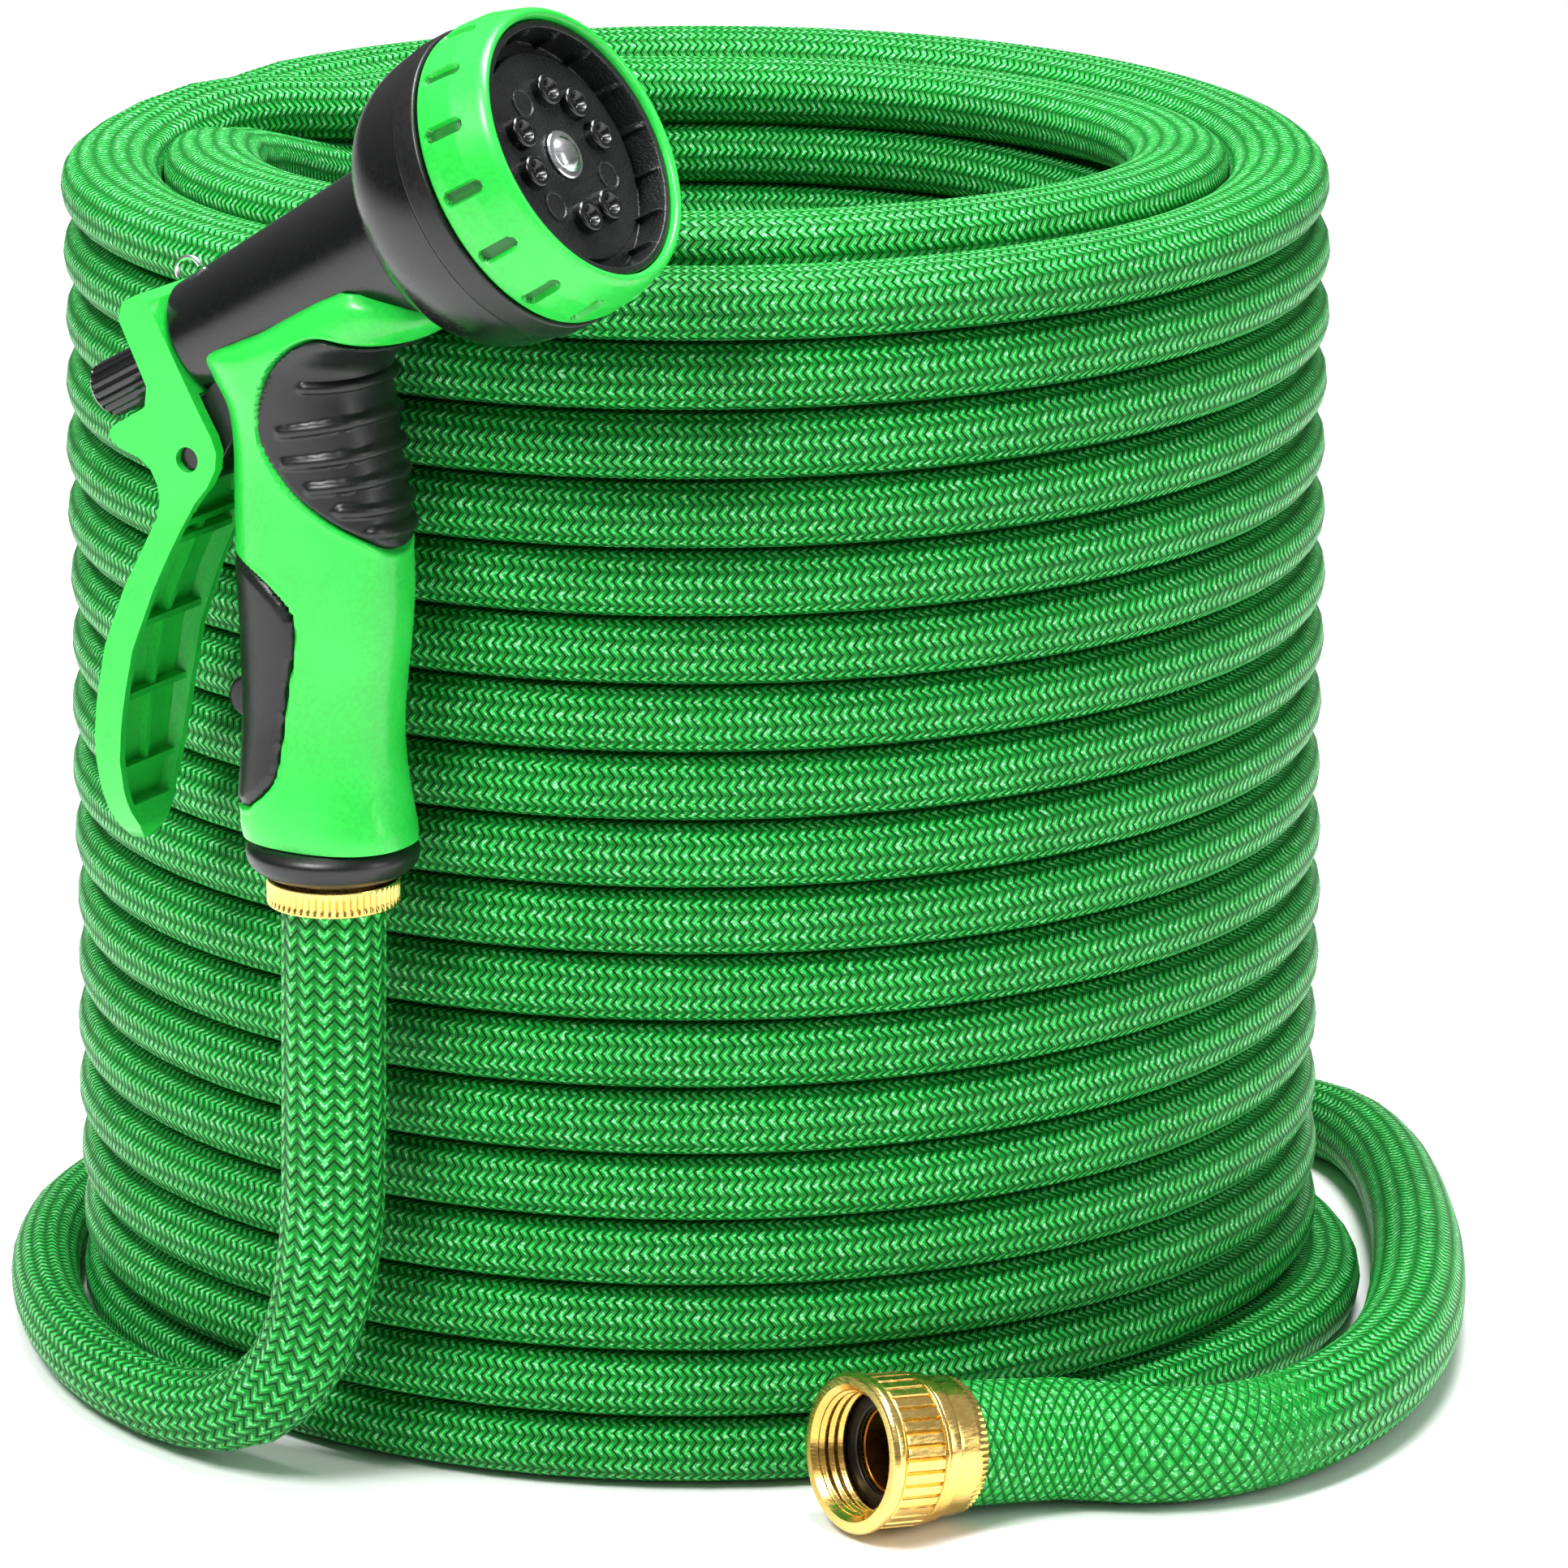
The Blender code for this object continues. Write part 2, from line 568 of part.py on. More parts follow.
def lever_mask(cutters, name, inset_mm, nozzle, finish):
    """The lever's outline from behind, narrower by an inset, as a bar along the nozzle."""
    side = [(half - inset_mm, height) for height, half in LEVER_WIDTHS_MM if half > inset_mm]
    other = [(-half, height) for half, height in reversed(side)]
    mask = plate(cutters, name, [*side, *other], MASK_HALF_LENGTH, nozzle, finish)
    mask.rotation_euler = (math.radians(90), 0.0, math.radians(90))
    return mask


def lever_parts(collection, cutters, nozzle, barrel, look):
    pivot = empty("lever_pivot", nozzle)
    pivot.location = (PIVOT_MM[0] * MM, 0.0, PIVOT_MM[1] * MM)
    shift = Vector((-pivot.location.x, 0.0, -pivot.location.z))
    lever = plate(collection, "lever", lever_outline(), LEVER_HALF_WIDTH, pivot, look["green"])
    lever.location = shift
    back = [(x + LEVER_WALL_MM, z) for x, z in LEVER_BACK_EDGE_MM
            if LEVER_CHANNEL_FOOT_MM < z < LEVER_CHANNEL_TOP_MM]
    waist = max(x for x, z in LEVER_BACK_EDGE_MM) + LEVER_WALL_MM
    channel = [(waist, LEVER_CHANNEL_TOP_MM), *back, (back[-1][0], LEVER_CHANNEL_FOOT_MM),
               (-30.0, LEVER_CHANNEL_FOOT_MM), (-10.0, LEVER_CHANNEL_TOP_MM)]
    cut(lever, lever_mask(cutters, "lever_width", 0.0, nozzle, look["green"]), "INTERSECT")
    cutter = plate(cutters, "lever_channel", channel, LEVER_HALF_WIDTH, nozzle, look["green"])
    cut(cutter, lever_mask(cutters, "channel_width", LEVER_SIDE_WALL / MM, nozzle, look["green"]), "INTERSECT")
    cut(lever, cutter)
    reach = PIVOT_MM[0] - LUG_RADIUS_MM - EAR_ROOM_MM
    ear_gap = [(waist, LEVER_CHANNEL_TOP_MM - 4.0), (waist, PIVOT_MM[1] - LUG_RADIUS_MM),
               (reach, PIVOT_MM[1] - LUG_RADIUS_MM / 2), (reach, PIVOT_MM[1] + LUG_RADIUS_MM / 2),
               along_barrel(HOOD_BACK - 0.0030, -0.0110), along_barrel(HOOD_FRONT - 0.0050, -0.0110),
               (-10.0, LEVER_CHANNEL_TOP_MM - 4.0)]
    cut(lever, plate(cutters, "ear_gap", ear_gap, EAR_INNER_HALF, nozzle, look["green"]))
    slot = [along_barrel(HOOD_FRONT - 0.005, -STEM_SLOT_BOTTOM), along_barrel(HOOD_FRONT - 0.005, STEM_SLOT_TOP),
            along_barrel(HOOD_BACK + 0.010, STEM_SLOT_TOP), along_barrel(HOOD_BACK + 0.010, -STEM_SLOT_BOTTOM)]
    cut(lever, plate(cutters, "stem_slot", slot, STEM_SLOT_HALF, nozzle, look["green"]))
    hole = rod(cutters, "ear_hole", PIN_RADIUS + GAP, 2 * LEVER_HALF_WIDTH, nozzle, look["green"])
    hole.location = pivot.location
    cut(lever, hole)
    stem_end = -KNOB_FRONT - KNOB_LENGTH / 2
    tip_radius = STEM_RADIUS - 0.0010
    turned(collection, "valve_stem", [
        (0.0, -BARREL_REAR + STEM_DEPTH - 0.0060), (STEM_RADIUS, -BARREL_REAR + STEM_DEPTH - 0.0060),
        (STEM_RADIUS, -KNOB_FRONT + GAP), (tip_radius, -KNOB_FRONT + GAP), (tip_radius, stem_end), (0.0, stem_end),
    ], barrel, look["black"], steps=16, closed=False)
    knob_back = -KNOB_FRONT - KNOB_LENGTH
    turned(collection, "flow_knob", [
        (KNOB_RADIUS - 0.0008, -KNOB_FRONT), (KNOB_RADIUS, -KNOB_FRONT - 0.0008), (KNOB_RADIUS, knob_back + 0.0010),
        (KNOB_RADIUS - 0.0010, knob_back), (0.0, knob_back), (0.0, stem_end - GAP), (tip_radius + GAP, stem_end - GAP),
        (tip_radius + GAP, -KNOB_FRONT),
    ], barrel, look["black"], steps=24)


def handle_parts(collection, cutters, nozzle, barrel, look):
    clearance = turned(cutters, "barrel_clearance", [
        (0.0, 0.0), (HEAD_RADIUS, 0.0), *barrel_profile(GAP), (0.0, -BARREL_REAR - GAP),
    ], barrel, look["black"], closed=False)
    lug_clearance = plate(
        cutters, "lug_clearance", grown(lug_outline(), GAP / MM), LUG_HALF_WIDTH + GAP, nozzle, look["black"])
    handle = handle_shape(collection, "nozzle_handle", 0.0, nozzle, look["green"])
    grips = (
        ("front_grip", FRONT_GRIP_OUTLINE_MM), ("rear_insert", REAR_INSERT_OUTLINE_MM))
    for name, outline in grips:
        pocket = plate(cutters, name + "_pocket", grown(outline, GAP / MM), 0.030, nozzle, look["green"])
        kept = handle_shape(cutters, name + "_kept", -GRIP_DEPTH - GAP, nozzle, look["green"])
        cut(pocket, kept)
        cut(handle, pocket)
        grip = handle_shape(collection, name, GRIP_PROUD, nozzle, look["rubber"])
        cut(grip, plate(cutters, name + "_bound", outline, 0.030, nozzle, look["rubber"]), "INTERSECT")
        cut(grip, handle_shape(cutters, name + "_core", -GRIP_DEPTH, nozzle, look["rubber"]))
        if name == "rear_insert":
            nub = rod(cutters, "insert_nub", INSERT_NUB_RADIUS_MM * MM, INSERT_NUB_HALF_WIDTH, nozzle, look["rubber"])
            nub.location = (INSERT_NUB_MM[0] * MM, 0.0, INSERT_NUB_MM[1] * MM)
            cut(grip, nub, "UNION")
            cut(grip, bpy.data.objects["rear_insert_core"])
        cut(grip, clearance)
    cut(handle, clearance)
    cut(handle, lug_clearance)


def coupling_direction():
    """From the coupling's mouth into the hose."""
    level = math.cos(COUPLING_TILT)
    return Vector((
        level * math.cos(COUPLING_TURN), level * math.sin(COUPLING_TURN), -math.sin(COUPLING_TILT)))


def coupling_depths():
    """Where the pieces of the coupling start, inward from its mouth."""
    flange = NUT_LENGTH + GAP
    hose = flange + TAIL_FLANGE_LENGTH + GAP
    return {"flange": flange, "hose": hose}


def coupling_parts(collection, root, look):
    frame = empty("coupling_frame", root)
    frame.location = coupling_place()
    frame.rotation_mode = "QUATERNION"
    frame.rotation_quaternion = coupling_direction().to_track_quat("Z", "Y")
    depth = coupling_depths()
    edge = 0.0009
    turned(collection, "coupling_nut", [
        (NUT_WAIST_RADIUS, NUT_LENGTH), (NUT_WAIST_RADIUS, 0.0032), (NUT_RADIUS, 0.0026), (NUT_RADIUS, edge),
        (NUT_RADIUS - edge, 0.0), (MOUTH_RADIUS, 0.0), (SOCKET_RADIUS, MOUTH_RADIUS - SOCKET_RADIUS),
        (SOCKET_RADIUS, SOCKET_DEPTH), (SWIVEL_RADIUS + GAP, SOCKET_DEPTH), (SWIVEL_RADIUS + GAP, NUT_LENGTH),
    ], frame, look["brass"], steps=36)
    seat_back = SOCKET_DEPTH - GAP
    seat_front = seat_back - TAIL_SEAT_THICKNESS
    turned(collection, "coupling_tail", [
        (TAIL_FLANGE_RADIUS, depth["flange"] + TAIL_FLANGE_LENGTH), (TAIL_FLANGE_RADIUS, depth["flange"]),
        (SWIVEL_RADIUS, depth["flange"]), (SWIVEL_RADIUS, seat_back), (SOCKET_RADIUS - 0.0008, seat_back),
        (SOCKET_RADIUS - 0.0008, seat_front), (TAIL_BORE_RADIUS, seat_front),
        (TAIL_BORE_RADIUS, depth["flange"] + TAIL_FLANGE_LENGTH),
    ], frame, look["brass"], steps=32)
    washer_back = seat_front - GAP
    turned(collection, "coupling_washer", [
        (SOCKET_RADIUS - 0.0005, washer_back), (SOCKET_RADIUS - 0.0005, washer_back - WASHER_THICKNESS),
        (TAIL_BORE_RADIUS + 0.0008, washer_back - WASHER_THICKNESS), (TAIL_BORE_RADIUS + 0.0008, washer_back),
    ], frame, look["rubber"], steps=32)
    ferrule_in = TAP_END_RADIUS + GAP
    turned(collection, "coupling_ferrule", [
        (ferrule_in + FERRULE_WALL, depth["hose"] + FERRULE_LENGTH), (ferrule_in + FERRULE_WALL, depth["hose"]),
        (ferrule_in, depth["hose"]), (ferrule_in, depth["hose"] + FERRULE_LENGTH),
    ], frame, look["brass"], steps=36)


def centre_on_ground(root, collection):
    """Moves everything so that the middle of the box around it is on the Z axis."""
    graph = bpy.context.evaluated_depsgraph_get()
    graph.update()
    low = Vector((1e9, 1e9, 1e9))
    high = -low
    for made in collection.objects:
        shape = made.evaluated_get(graph)
        mesh = shape.to_mesh()
        for vertex in mesh.vertices:
            place = shape.matrix_world @ vertex.co
            for axis in range(3):
                low[axis] = min(low[axis], place[axis])
                high[axis] = max(high[axis], place[axis])
        shape.to_mesh_clear()
    root.location = (-(low.x + high.x) / 2, -(low.y + high.y) / 2, -low.z)


def build():
    for old in list(bpy.data.objects):
        bpy.data.objects.remove(old, do_unlink=True)
    collection = bpy.data.collections.new("garden_hose")
    cutters = bpy.data.collections.new("cutters")
    bpy.context.scene.collection.children.link(collection)
    bpy.context.scene.collection.children.link(cutters)
    look = materials()
    root = empty("hose_origin")
    nozzle = empty("nozzle_frame", root)
    nozzle.location = nozzle_place()
    nozzle.rotation_euler = (0.0, 0.0, -NOZZLE_HEADING)
    barrel = empty("barrel_frame", nozzle)
    barrel.location = (HEAD_PLACE_MM[0] * MM, 0.0, HEAD_PLACE_MM[1] * MM)
    barrel.rotation_euler = (0.0, math.pi / 2 - BARREL_RISE, 0.0)
    hose_parts(collection, root, look)
    fitting_parts(collection, nozzle, look)
    barrel_parts(collection, cutters, nozzle, barrel, look)
    head_parts(collection, barrel, look)
    lever_parts(collection, cutters, nozzle, barrel, look)
    handle_parts(collection, cutters, nozzle, barrel, look)
    coupling_parts(collection, root, look)
    bpy.context.view_layer.update()
    centre_on_ground(root, collection)
    bpy.context.view_layer.update()


build()
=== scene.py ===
"""Coiled garden hose with its spray nozzle and tap coupling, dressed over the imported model.

Metres, +Z up. Names that end in _MM hold millimetres. Places on the coil are given about its axis, on the
ground, and places on the nozzle about its foot, in its side view.
"""
import math

import bmesh
import bpy
import numpy as np
from mathutils import Matrix, Vector


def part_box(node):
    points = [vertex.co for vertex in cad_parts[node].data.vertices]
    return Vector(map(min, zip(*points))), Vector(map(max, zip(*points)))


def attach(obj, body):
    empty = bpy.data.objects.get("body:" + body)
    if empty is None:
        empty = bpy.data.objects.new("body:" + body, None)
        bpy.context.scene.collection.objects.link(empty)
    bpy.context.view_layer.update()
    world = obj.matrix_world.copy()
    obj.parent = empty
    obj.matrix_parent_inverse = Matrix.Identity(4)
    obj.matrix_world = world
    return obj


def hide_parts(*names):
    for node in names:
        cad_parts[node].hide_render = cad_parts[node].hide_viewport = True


MM = 0.001
# Clearance between neighbouring pieces
GAP = 0.0003

# Camera, about the coil's axis
CAMERA_PLACE = Vector((0.0212, -2.2640, 0.7663))
CAMERA_DIP = math.radians(15.701)
CAMERA_LENS = 218.81
SENSOR_WIDTH = 36.0
VIEW_END = 20.0

# Lights: name, place, what each is aimed at, its two sides and its power
LIGHTS = [
    ("key", (-0.8, -1.1, 1.75), (0, 0, 0.15), (0.7, 0.7), 44),
    ("above", (0.1, 0.1, 2.0), (0, 0, 0.1), (1.0, 0.9), 62),
    ("fill", (1.5, -0.9, 0.8), (0, 0, 0.15), (0.35, 1.1), 9),
]
FLOOR_REACH = 6
FLOOR_HEIGHT = -0.0002

# Surroundings: strength, and where on the way up they turn from dark to white
SKY_STRENGTH = 0.42
SKY_DARK = 0.10
SKY_RAMP = (0.42, 0.85)

# The coil and the oval section of its turns
COIL_LEVELS = 18
INNER_TURNS = 17
TURN_HEIGHT = 0.0162
OUTER_RADIUS = 0.1413
INNER_RADIUS = 0.1168
TURN_HALF_WIDTH = 0.0122
TURN_HALF_HEIGHT = 0.0081
SECTION_POWER = 2.35

# Angles on the coil, in degrees: where turns climb, where the nozzle's stretch joins the lowest turn and has
# become it, and where that turn bulges outward
CLIMB_START = 175.0
CLIMB_END = 135.0
RUN_JOIN = 154.0
MERGE_END = 98.0
BULGE_ANGLE = -14.0
BULGE_SPREAD = 56.0
BULGE = 0.0125
RIPPLE = 0.0003

# Where the hose comes out below the outer turns: these rise and fall, the inner ones settle, and the last of
# those swings out
LIFT_RISE = (132.0, 110.0)
LIFT_FALL = (58.0, 28.0)
INNER_SETTLE = (60.0, 30.0)
SWING_START = 118.0
SWING_SPAN = 53.7
SWING_OUT = 0.0449
SWING_ROUNDS = (100.0, 66.0)
COIL_END = 64.3

# The top of the inner layer: the arch of the hose that comes over, and how its turns are raised and tilted
TOP_ARCH = 0.004
INNER_RAISE = 0.0025
INNER_TILT = 0.0055
INNER_TILT_TURNS = 2.5

# Braid: columns around the hose, the length of one row on each stretch, and how far from the hose's ends
# one goes over into the other
BRAID_COLUMNS = 16
COIL_ROW = 0.0021
NOZZLE_ROW = 0.0034
COUPLING_ROW = 0.0030
NOZZLE_ROW_ENDS = (0.18, 0.36)
COUPLING_ROW_ENDS = (0.05, 0.40)
FLAT_BRAID_ENDS = (0.075, 0.105)

# The cord as a whole
RUN_RADIUS = 0.0084
OVAL_FROM = 0.003
GROUND_GAP = 0.0001
RING_STEP = 0.012
HOSE_SIDES = 28

# Free stretches of the hose: x, y, z and radius, in millimetres about the coil's axis on the ground
NOZZLE_RUN_MM = [
    (-82.6, -155.0, 145.2, 12.2), (-83.0, -155.2, 118.0, 12.2), (-83.4, -155.4, 88.0, 12.2),
    (-84.6, -155.0, 62.0, 12.0), (-90.5, -151.0, 36.0, 11.2), (-103.0, -141.5, 18.5, 10.2),
    (-120.0, -124.5, 10.9, 9.5), (-137.5, -101.0, 9.2, 9.1), (-151.0, -72.0, 8.9, 8.8),
    (-159.5, -38.0, 8.7, 8.6), (-163.0, -2.0, 8.6, 8.5), (-160.4, 31.0, 8.5, 8.4),
    (-153.6, 52.6, 8.5, 8.4),
]
TAP_RUN_MM = [
    (86.0, 143.4, 8.5, 8.4), (111.0, 137.4, 8.8, 8.7), (139.0, 123.0, 9.4, 9.3),
    (165.0, 100.1, 9.9, 9.8), (175.4, 68.7, 10.4, 10.2), (179.0, 26.4, 11.0, 10.8),
    (178.4, -21.6, 11.9, 11.7), (172.8, -72.1, 12.4, 12.2), (161.7, -108.7, 12.8, 12.5),
    (144.0, -138.0, 13.0, 12.8), (124.0, -154.5, 13.4, 13.2), (104.0, -159.6, 14.2, 13.8),
    (86.0, -158.0, 15.2, 14.4),
]

# Where the fittings stand, about the coil's axis
COUPLING_PLACE = Vector((0.0364, -0.1830, 0.0204))
COUPLING_TURN = math.radians(34)
COUPLING_TILT = math.radians(7)
TAP_END_RADIUS = 0.0148
FERRULE_DEPTH = 0.0199
FERRULE_LENGTH = 0.0084

# Nozzle: its foot and heading, and the barrel in the nozzle's side view
NOZZLE_PLACE = Vector((-0.0826, -0.1550, 0.1486))
NOZZLE_HEADING = math.radians(30)
HEAD_PLACE_MM = (63.2, 178.9)
BARREL_RISE = math.radians(29)
COLLAR_RADIUS = 0.0155
COLLAR_HALF_HEIGHT = 0.0031
COLLAR_RIBS = 56
NECK_RADIUS = 0.0130
NECK_TOP = 0.0038
SPIGOT_RADIUS = 0.0090
BASE_RING_RADIUS = 0.0205
BASE_RING_HEIGHT = 0.0082
BARREL_REAR = 0.1093
BARREL_REAR_RADIUS = 0.0143
NECK_BACK = 0.0410
BARREL_NECK_RADIUS = 0.0195

# Spray head, forward from the middle of its face
HEAD_RADIUS = 0.0363
BEZEL_REAR = 0.0119
BEZEL_FRONT = 0.0065
BEZEL_FRONT_RADIUS = 0.0335
BEZEL_BEVEL = 0.0085
WEB_FRONT = 0.0040 - BEZEL_REAR
BEZEL_SLOTS = 15
SLOT_MIDDLE = -0.0049
SLOT_HALF_LENGTH = 0.0050
SLOT_HALF_WIDTH = 0.00165
SLOT_DEPTH = 0.0015
LABEL_RING_LENGTH = 0.0064
FACE_RADIUS = 0.0309
FACE_WALL = 0.0018
FACE_PLATE = 0.0025
FACE_RECESS = 0.0030
FACE_SETBACK = 0.0015
DISC_RADIUS = 0.0250
WALL_RIBS = 17
FIRST_WALL_RIB = math.radians(4.6)
WALL_RIB_HEIGHT = 0.0010
WALL_RIB_EDGE = (0.00035, 0.00065)

# Outlets on the face, as radius and height, with the angles of the first and of the step to the next
CUP_CIRCLE = 0.0152
OUTLETS = 10
FIRST_OUTLET = 12
OUTLET_STEP = 36
FLAT_OUTLETS = (3, 6, 9)
CUP_OUTLET = [
    (0.0, -0.0010), (0.0041, -0.0010), (0.0039, 0.0021), (0.0034, 0.0026), (0.0025, 0.0026),
    (0.0020, 0.0018), (0.0013, 0.0006), (0.0, 0.0006),
]
FLAT_OUTLET = [
    (0.0, -0.0010), (0.0036, -0.0010), (0.0036, 0.0003), (0.0031, 0.0005), (0.0028, 0.0002), (0.0, 0.0002),
]

# Spindle that the head turns on, and the screw that holds it
SPINDLE_RADIUS = 0.0090
SPINDLE_GAP = 0.0030
SPINDLE_HOLE_DEPTH = 0.0100
HEAD_BORE_RADIUS = SPINDLE_RADIUS + 0.0006
SCREW_RADIUS = 0.0058
SCREW_SHANK_RADIUS = 0.0018
SCREW_DOME = [(0.0, 0.0024), (0.0014, 0.00235), (0.0026, 0.0021), (0.0036, 0.0016), (0.0041, 0.0011)]

# Lever, its pivot, and the flow knob behind the barrel
PIVOT_MM = (-29.0, 101.0)
LUG_RADIUS_MM = 6.5
LUG_HALF_WIDTH = 0.0106
STEM_RADIUS = 0.0035
STEM_DEPTH = 0.0200
KNOB_RADIUS = 0.0066
KNOB_FRONT = 0.1214
KNOB_LENGTH = 0.0200
KNOB_FLUTES = 16
FLUTE_DEPTH = 0.0005

# Ribs in the lever's channel: height, back end, front end and half width
CHANNEL_RIBS_MM = [
    (84.5, -37.0, -33.0, 13.0), (80.5, -38.8, -34.4, 13.0), (59.8, -48.6, -43.8, 13.6),
    (41.6, -52.9, -48.4, 13.8), (23.5, -54.2, -50.6, 12.0),
]

# Handle: height, back, front and half width of its sections, and the outlines of its rubber parts
HANDLE_SECTIONS_MM = [
    (12.6, -21.2, 20.0, 16.8), (16, -21.8, 19.8, 17.0), (22, -21.8, 18.6, 16.6), (31, -21.2, 17.4, 15.6),
    (41, -20.7, 17.1, 15.0), (51, -20.8, 18.0, 15.2), (61, -21.0, 19.2, 15.6), (72, -21.5, 20.0, 16.0),
    (84, -22.2, 19.6, 16.2), (95, -22.2, 18.0, 16.2), (105, -22.0, 16.0, 16.6), (114, -23.0, 14.4, 17.6),
    (121, -26.7, 13.2, 18.8), (126, -28.0, 14.0, 19.8), (130, -20.0, 19.0, 20.4), (133.5, -12.5, 26.5, 20.8),
    (138, -5.0, 31.5, 20.8), (142.5, 3.5, 30.0, 20.0), (145.5, 11.0, 23.0, 18.0),
]
SECTION_SQUARENESS = 2.3
HANDLE_SIDES = 168
HANDLE_STEP_MM = 0.55
OUTLINE_STEP_MM = 1.5
FRONT_GRIP_OUTLINE_MM = [
    (40, 76.5), (25, 77), (20.5, 81.5), (16, 86), (8.3, 90.9), (0.7, 96.3), (-5.2, 102.6), (-8.0, 107.7),
    (-8.4, 113.1), (-7.2, 118.9), (-3.6, 125.9), (1.7, 131.2), (6.6, 134.1), (12, 135.2), (20.9, 133.7),
    (40, 131.5),
]
REAR_INSERT_OUTLINE_MM = [
    (-40, 82), (-22, 81.5), (-19.4, 79.8), (-15.2, 78.5), (-8.5, 75.7), (-1.9, 70.6), (0.5, 65.7), (0, 58.4),
    (-1.9, 50.1), (-3.1, 41.9), (-4.2, 34.6), (-5.4, 29.1), (-7.6, 25.7), (-11.5, 22.5), (-16.7, 19.9),
    (-40, 18.5),
]

# Relief where shell and rubber meet: the shell's raised rim and the bed sunk in it, and the rubber's edge
RIM_HEIGHT_MM = 0.22
RIM_PLACE_MM = 0.55
RIM_WIDTH_MM = 0.45
BED_DEPTH_MM = 1.7
RUBBER_EDGE_MM = -2.0
RUBBER_RISE_MM = 2.45
RUBBER_WALL = 0.0010
INSERT_PANEL_MM = 0.5

# Bars on the front grip: where each starts in the side view, its height there and at the front
GRIP_BARS_MM = [
    (4.6, 122.1, 122.0), (-1.1, 111.3, 115.8), (-0.3, 103.9, 107.7), (5.2, 98.5, 101.0), (11.6, 93.7, 93.4),
    (17.5, 88.5, 86.5),
]
BAR_END_MM = 22.0
BAR_HEIGHT_MM = 1.35
BAR_REACH_MM = 1.45

# The round nub that goes through the rear insert, as long as it is wide
NUB_PLACE = (-0.0200, 0.0, 0.0440)
NUB_RADIUS = 0.0050

# Tap coupling, inward from its mouth
NUT_RADIUS = 0.0189
NUT_WAIST_RADIUS = 0.0181
NUT_LENGTH = 0.0160
NUT_RIBS = 36
SOCKET_RADIUS = 0.0148
MOUTH_RADIUS = 0.0160
SOCKET_DEPTH = 0.0130
THREAD_PITCH = 0.0026
THREAD_START = 0.0014
THREAD_LENGTH = 0.0078
THREAD_HEIGHT = 0.0009
THREAD_POINTS = 56
SWIVEL_RADIUS = 0.0118
TAIL_FLANGE_RADIUS = 0.0176
TAIL_FLANGE_LENGTH = 0.0033
TAIL_BORE_RADIUS = 0.0096
TAIL_SEAT_THICKNESS = 0.0017
WASHER_THICKNESS = 0.0016
FERRULE_WALL = 0.0014
FERRULE_TEETH = 64
NUT_GROOVE_DEPTH = 0.0008
NUT_GROOVE_EDGE = (0.00012, 0.00045)


def coil_axis():
    low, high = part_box("hose_coil")
    return Vector(((low.x + high.x) / 2, (low.y + high.y) / 2, 0.0))


def ease(value, start, end):
    """0 at start and 1 at end, smooth between them; start may be the larger."""
    t = min(1.0, max(0.0, (value - start) / (end - start)))
    return t * t * (3 - 2 * t)


def mix(a, b, share):
    return a + (b - a) * share


def link(obj):
    bpy.context.scene.collection.objects.link(obj)
    return obj


def mesh_object(name, verts, faces, material):
    mesh = bpy.data.meshes.new(name)
    mesh.from_pydata(verts, [], faces)
    obj = link(bpy.data.objects.new(name, mesh))
    mesh.materials.append(material)
    return obj


# Materials


class Nodes:
    """A helper for node materials. Its calls add nodes and return their output, and done() the material."""

    def __init__(self, name):
        self.material = bpy.data.materials.new(name)
        self.material.use_nodes = True
        self.tree = self.material.node_tree
        self.shader = self.tree.nodes["Principled BSDF"]

    def add(self, kind, **settings):
        node = self.tree.nodes.new(kind)
        for key, value in settings.items():
            setattr(node, key, value)
        return node

    def feed(self, socket, value):
        if isinstance(value, bpy.types.NodeSocket):
            self.tree.links.new(value, socket)
        elif value is not None:
            socket.default_value = value

    def math(self, operation, a, b=None):
        node = self.add("ShaderNodeMath", operation=operation)
        self.feed(node.inputs[0], a)
        self.feed(node.inputs[1], b)
        return node.outputs[0]

    def plus(self, a, b):
        return self.math("ADD", a, b)

    def less(self, a, b):
        return self.math("SUBTRACT", a, b)

    def times(self, a, b):
        return self.math("MULTIPLY", a, b)

    def range(self, value, low, high, to_low=0.0, to_high=1.0):
        node = self.add("ShaderNodeMapRange", interpolation_type="SMOOTHSTEP")
        for socket, item in zip(node.inputs, (value, low, high, to_low, to_high)):
            self.feed(socket, item)
        return node.outputs[0]

    def mix(self, factor, a, b):
        node = self.add("ShaderNodeMix", data_type="RGBA")
        self.feed(node.inputs[0], factor)
        self.feed(node.inputs[6], a)
        self.feed(node.inputs[7], b)
        return node.outputs[2]

    def blend(self, factor, a, b):
        node = self.add("ShaderNodeMix", data_type="FLOAT")
        self.feed(node.inputs[0], factor)
        self.feed(node.inputs[2], a)
        self.feed(node.inputs[3], b)
        return node.outputs[0]

    def noise(self, scale, detail=2.0, stretch=(1, 1, 1)):
        place = self.add("ShaderNodeTexCoord").outputs["Object"]
        mapping = self.add("ShaderNodeMapping")
        mapping.inputs["Scale"].default_value = stretch
        self.feed(mapping.inputs["Vector"], place)
        node = self.add("ShaderNodeTexNoise")
        node.inputs["Scale"].default_value = scale
        node.inputs["Detail"].default_value = detail
        self.feed(node.inputs["Vector"], mapping.outputs[0])
        return node.outputs["Fac"]

    def bump(self, height, distance, strength):
        node = self.add("ShaderNodeBump")
        node.inputs["Strength"].default_value = strength
        node.inputs["Distance"].default_value = distance
        self.feed(node.inputs["Height"], height)
        return node.outputs["Normal"]

    def done(self, **values):
        for key, value in values.items():
            self.feed(self.shader.inputs[key.replace("_", " ")], value)
        return self.material


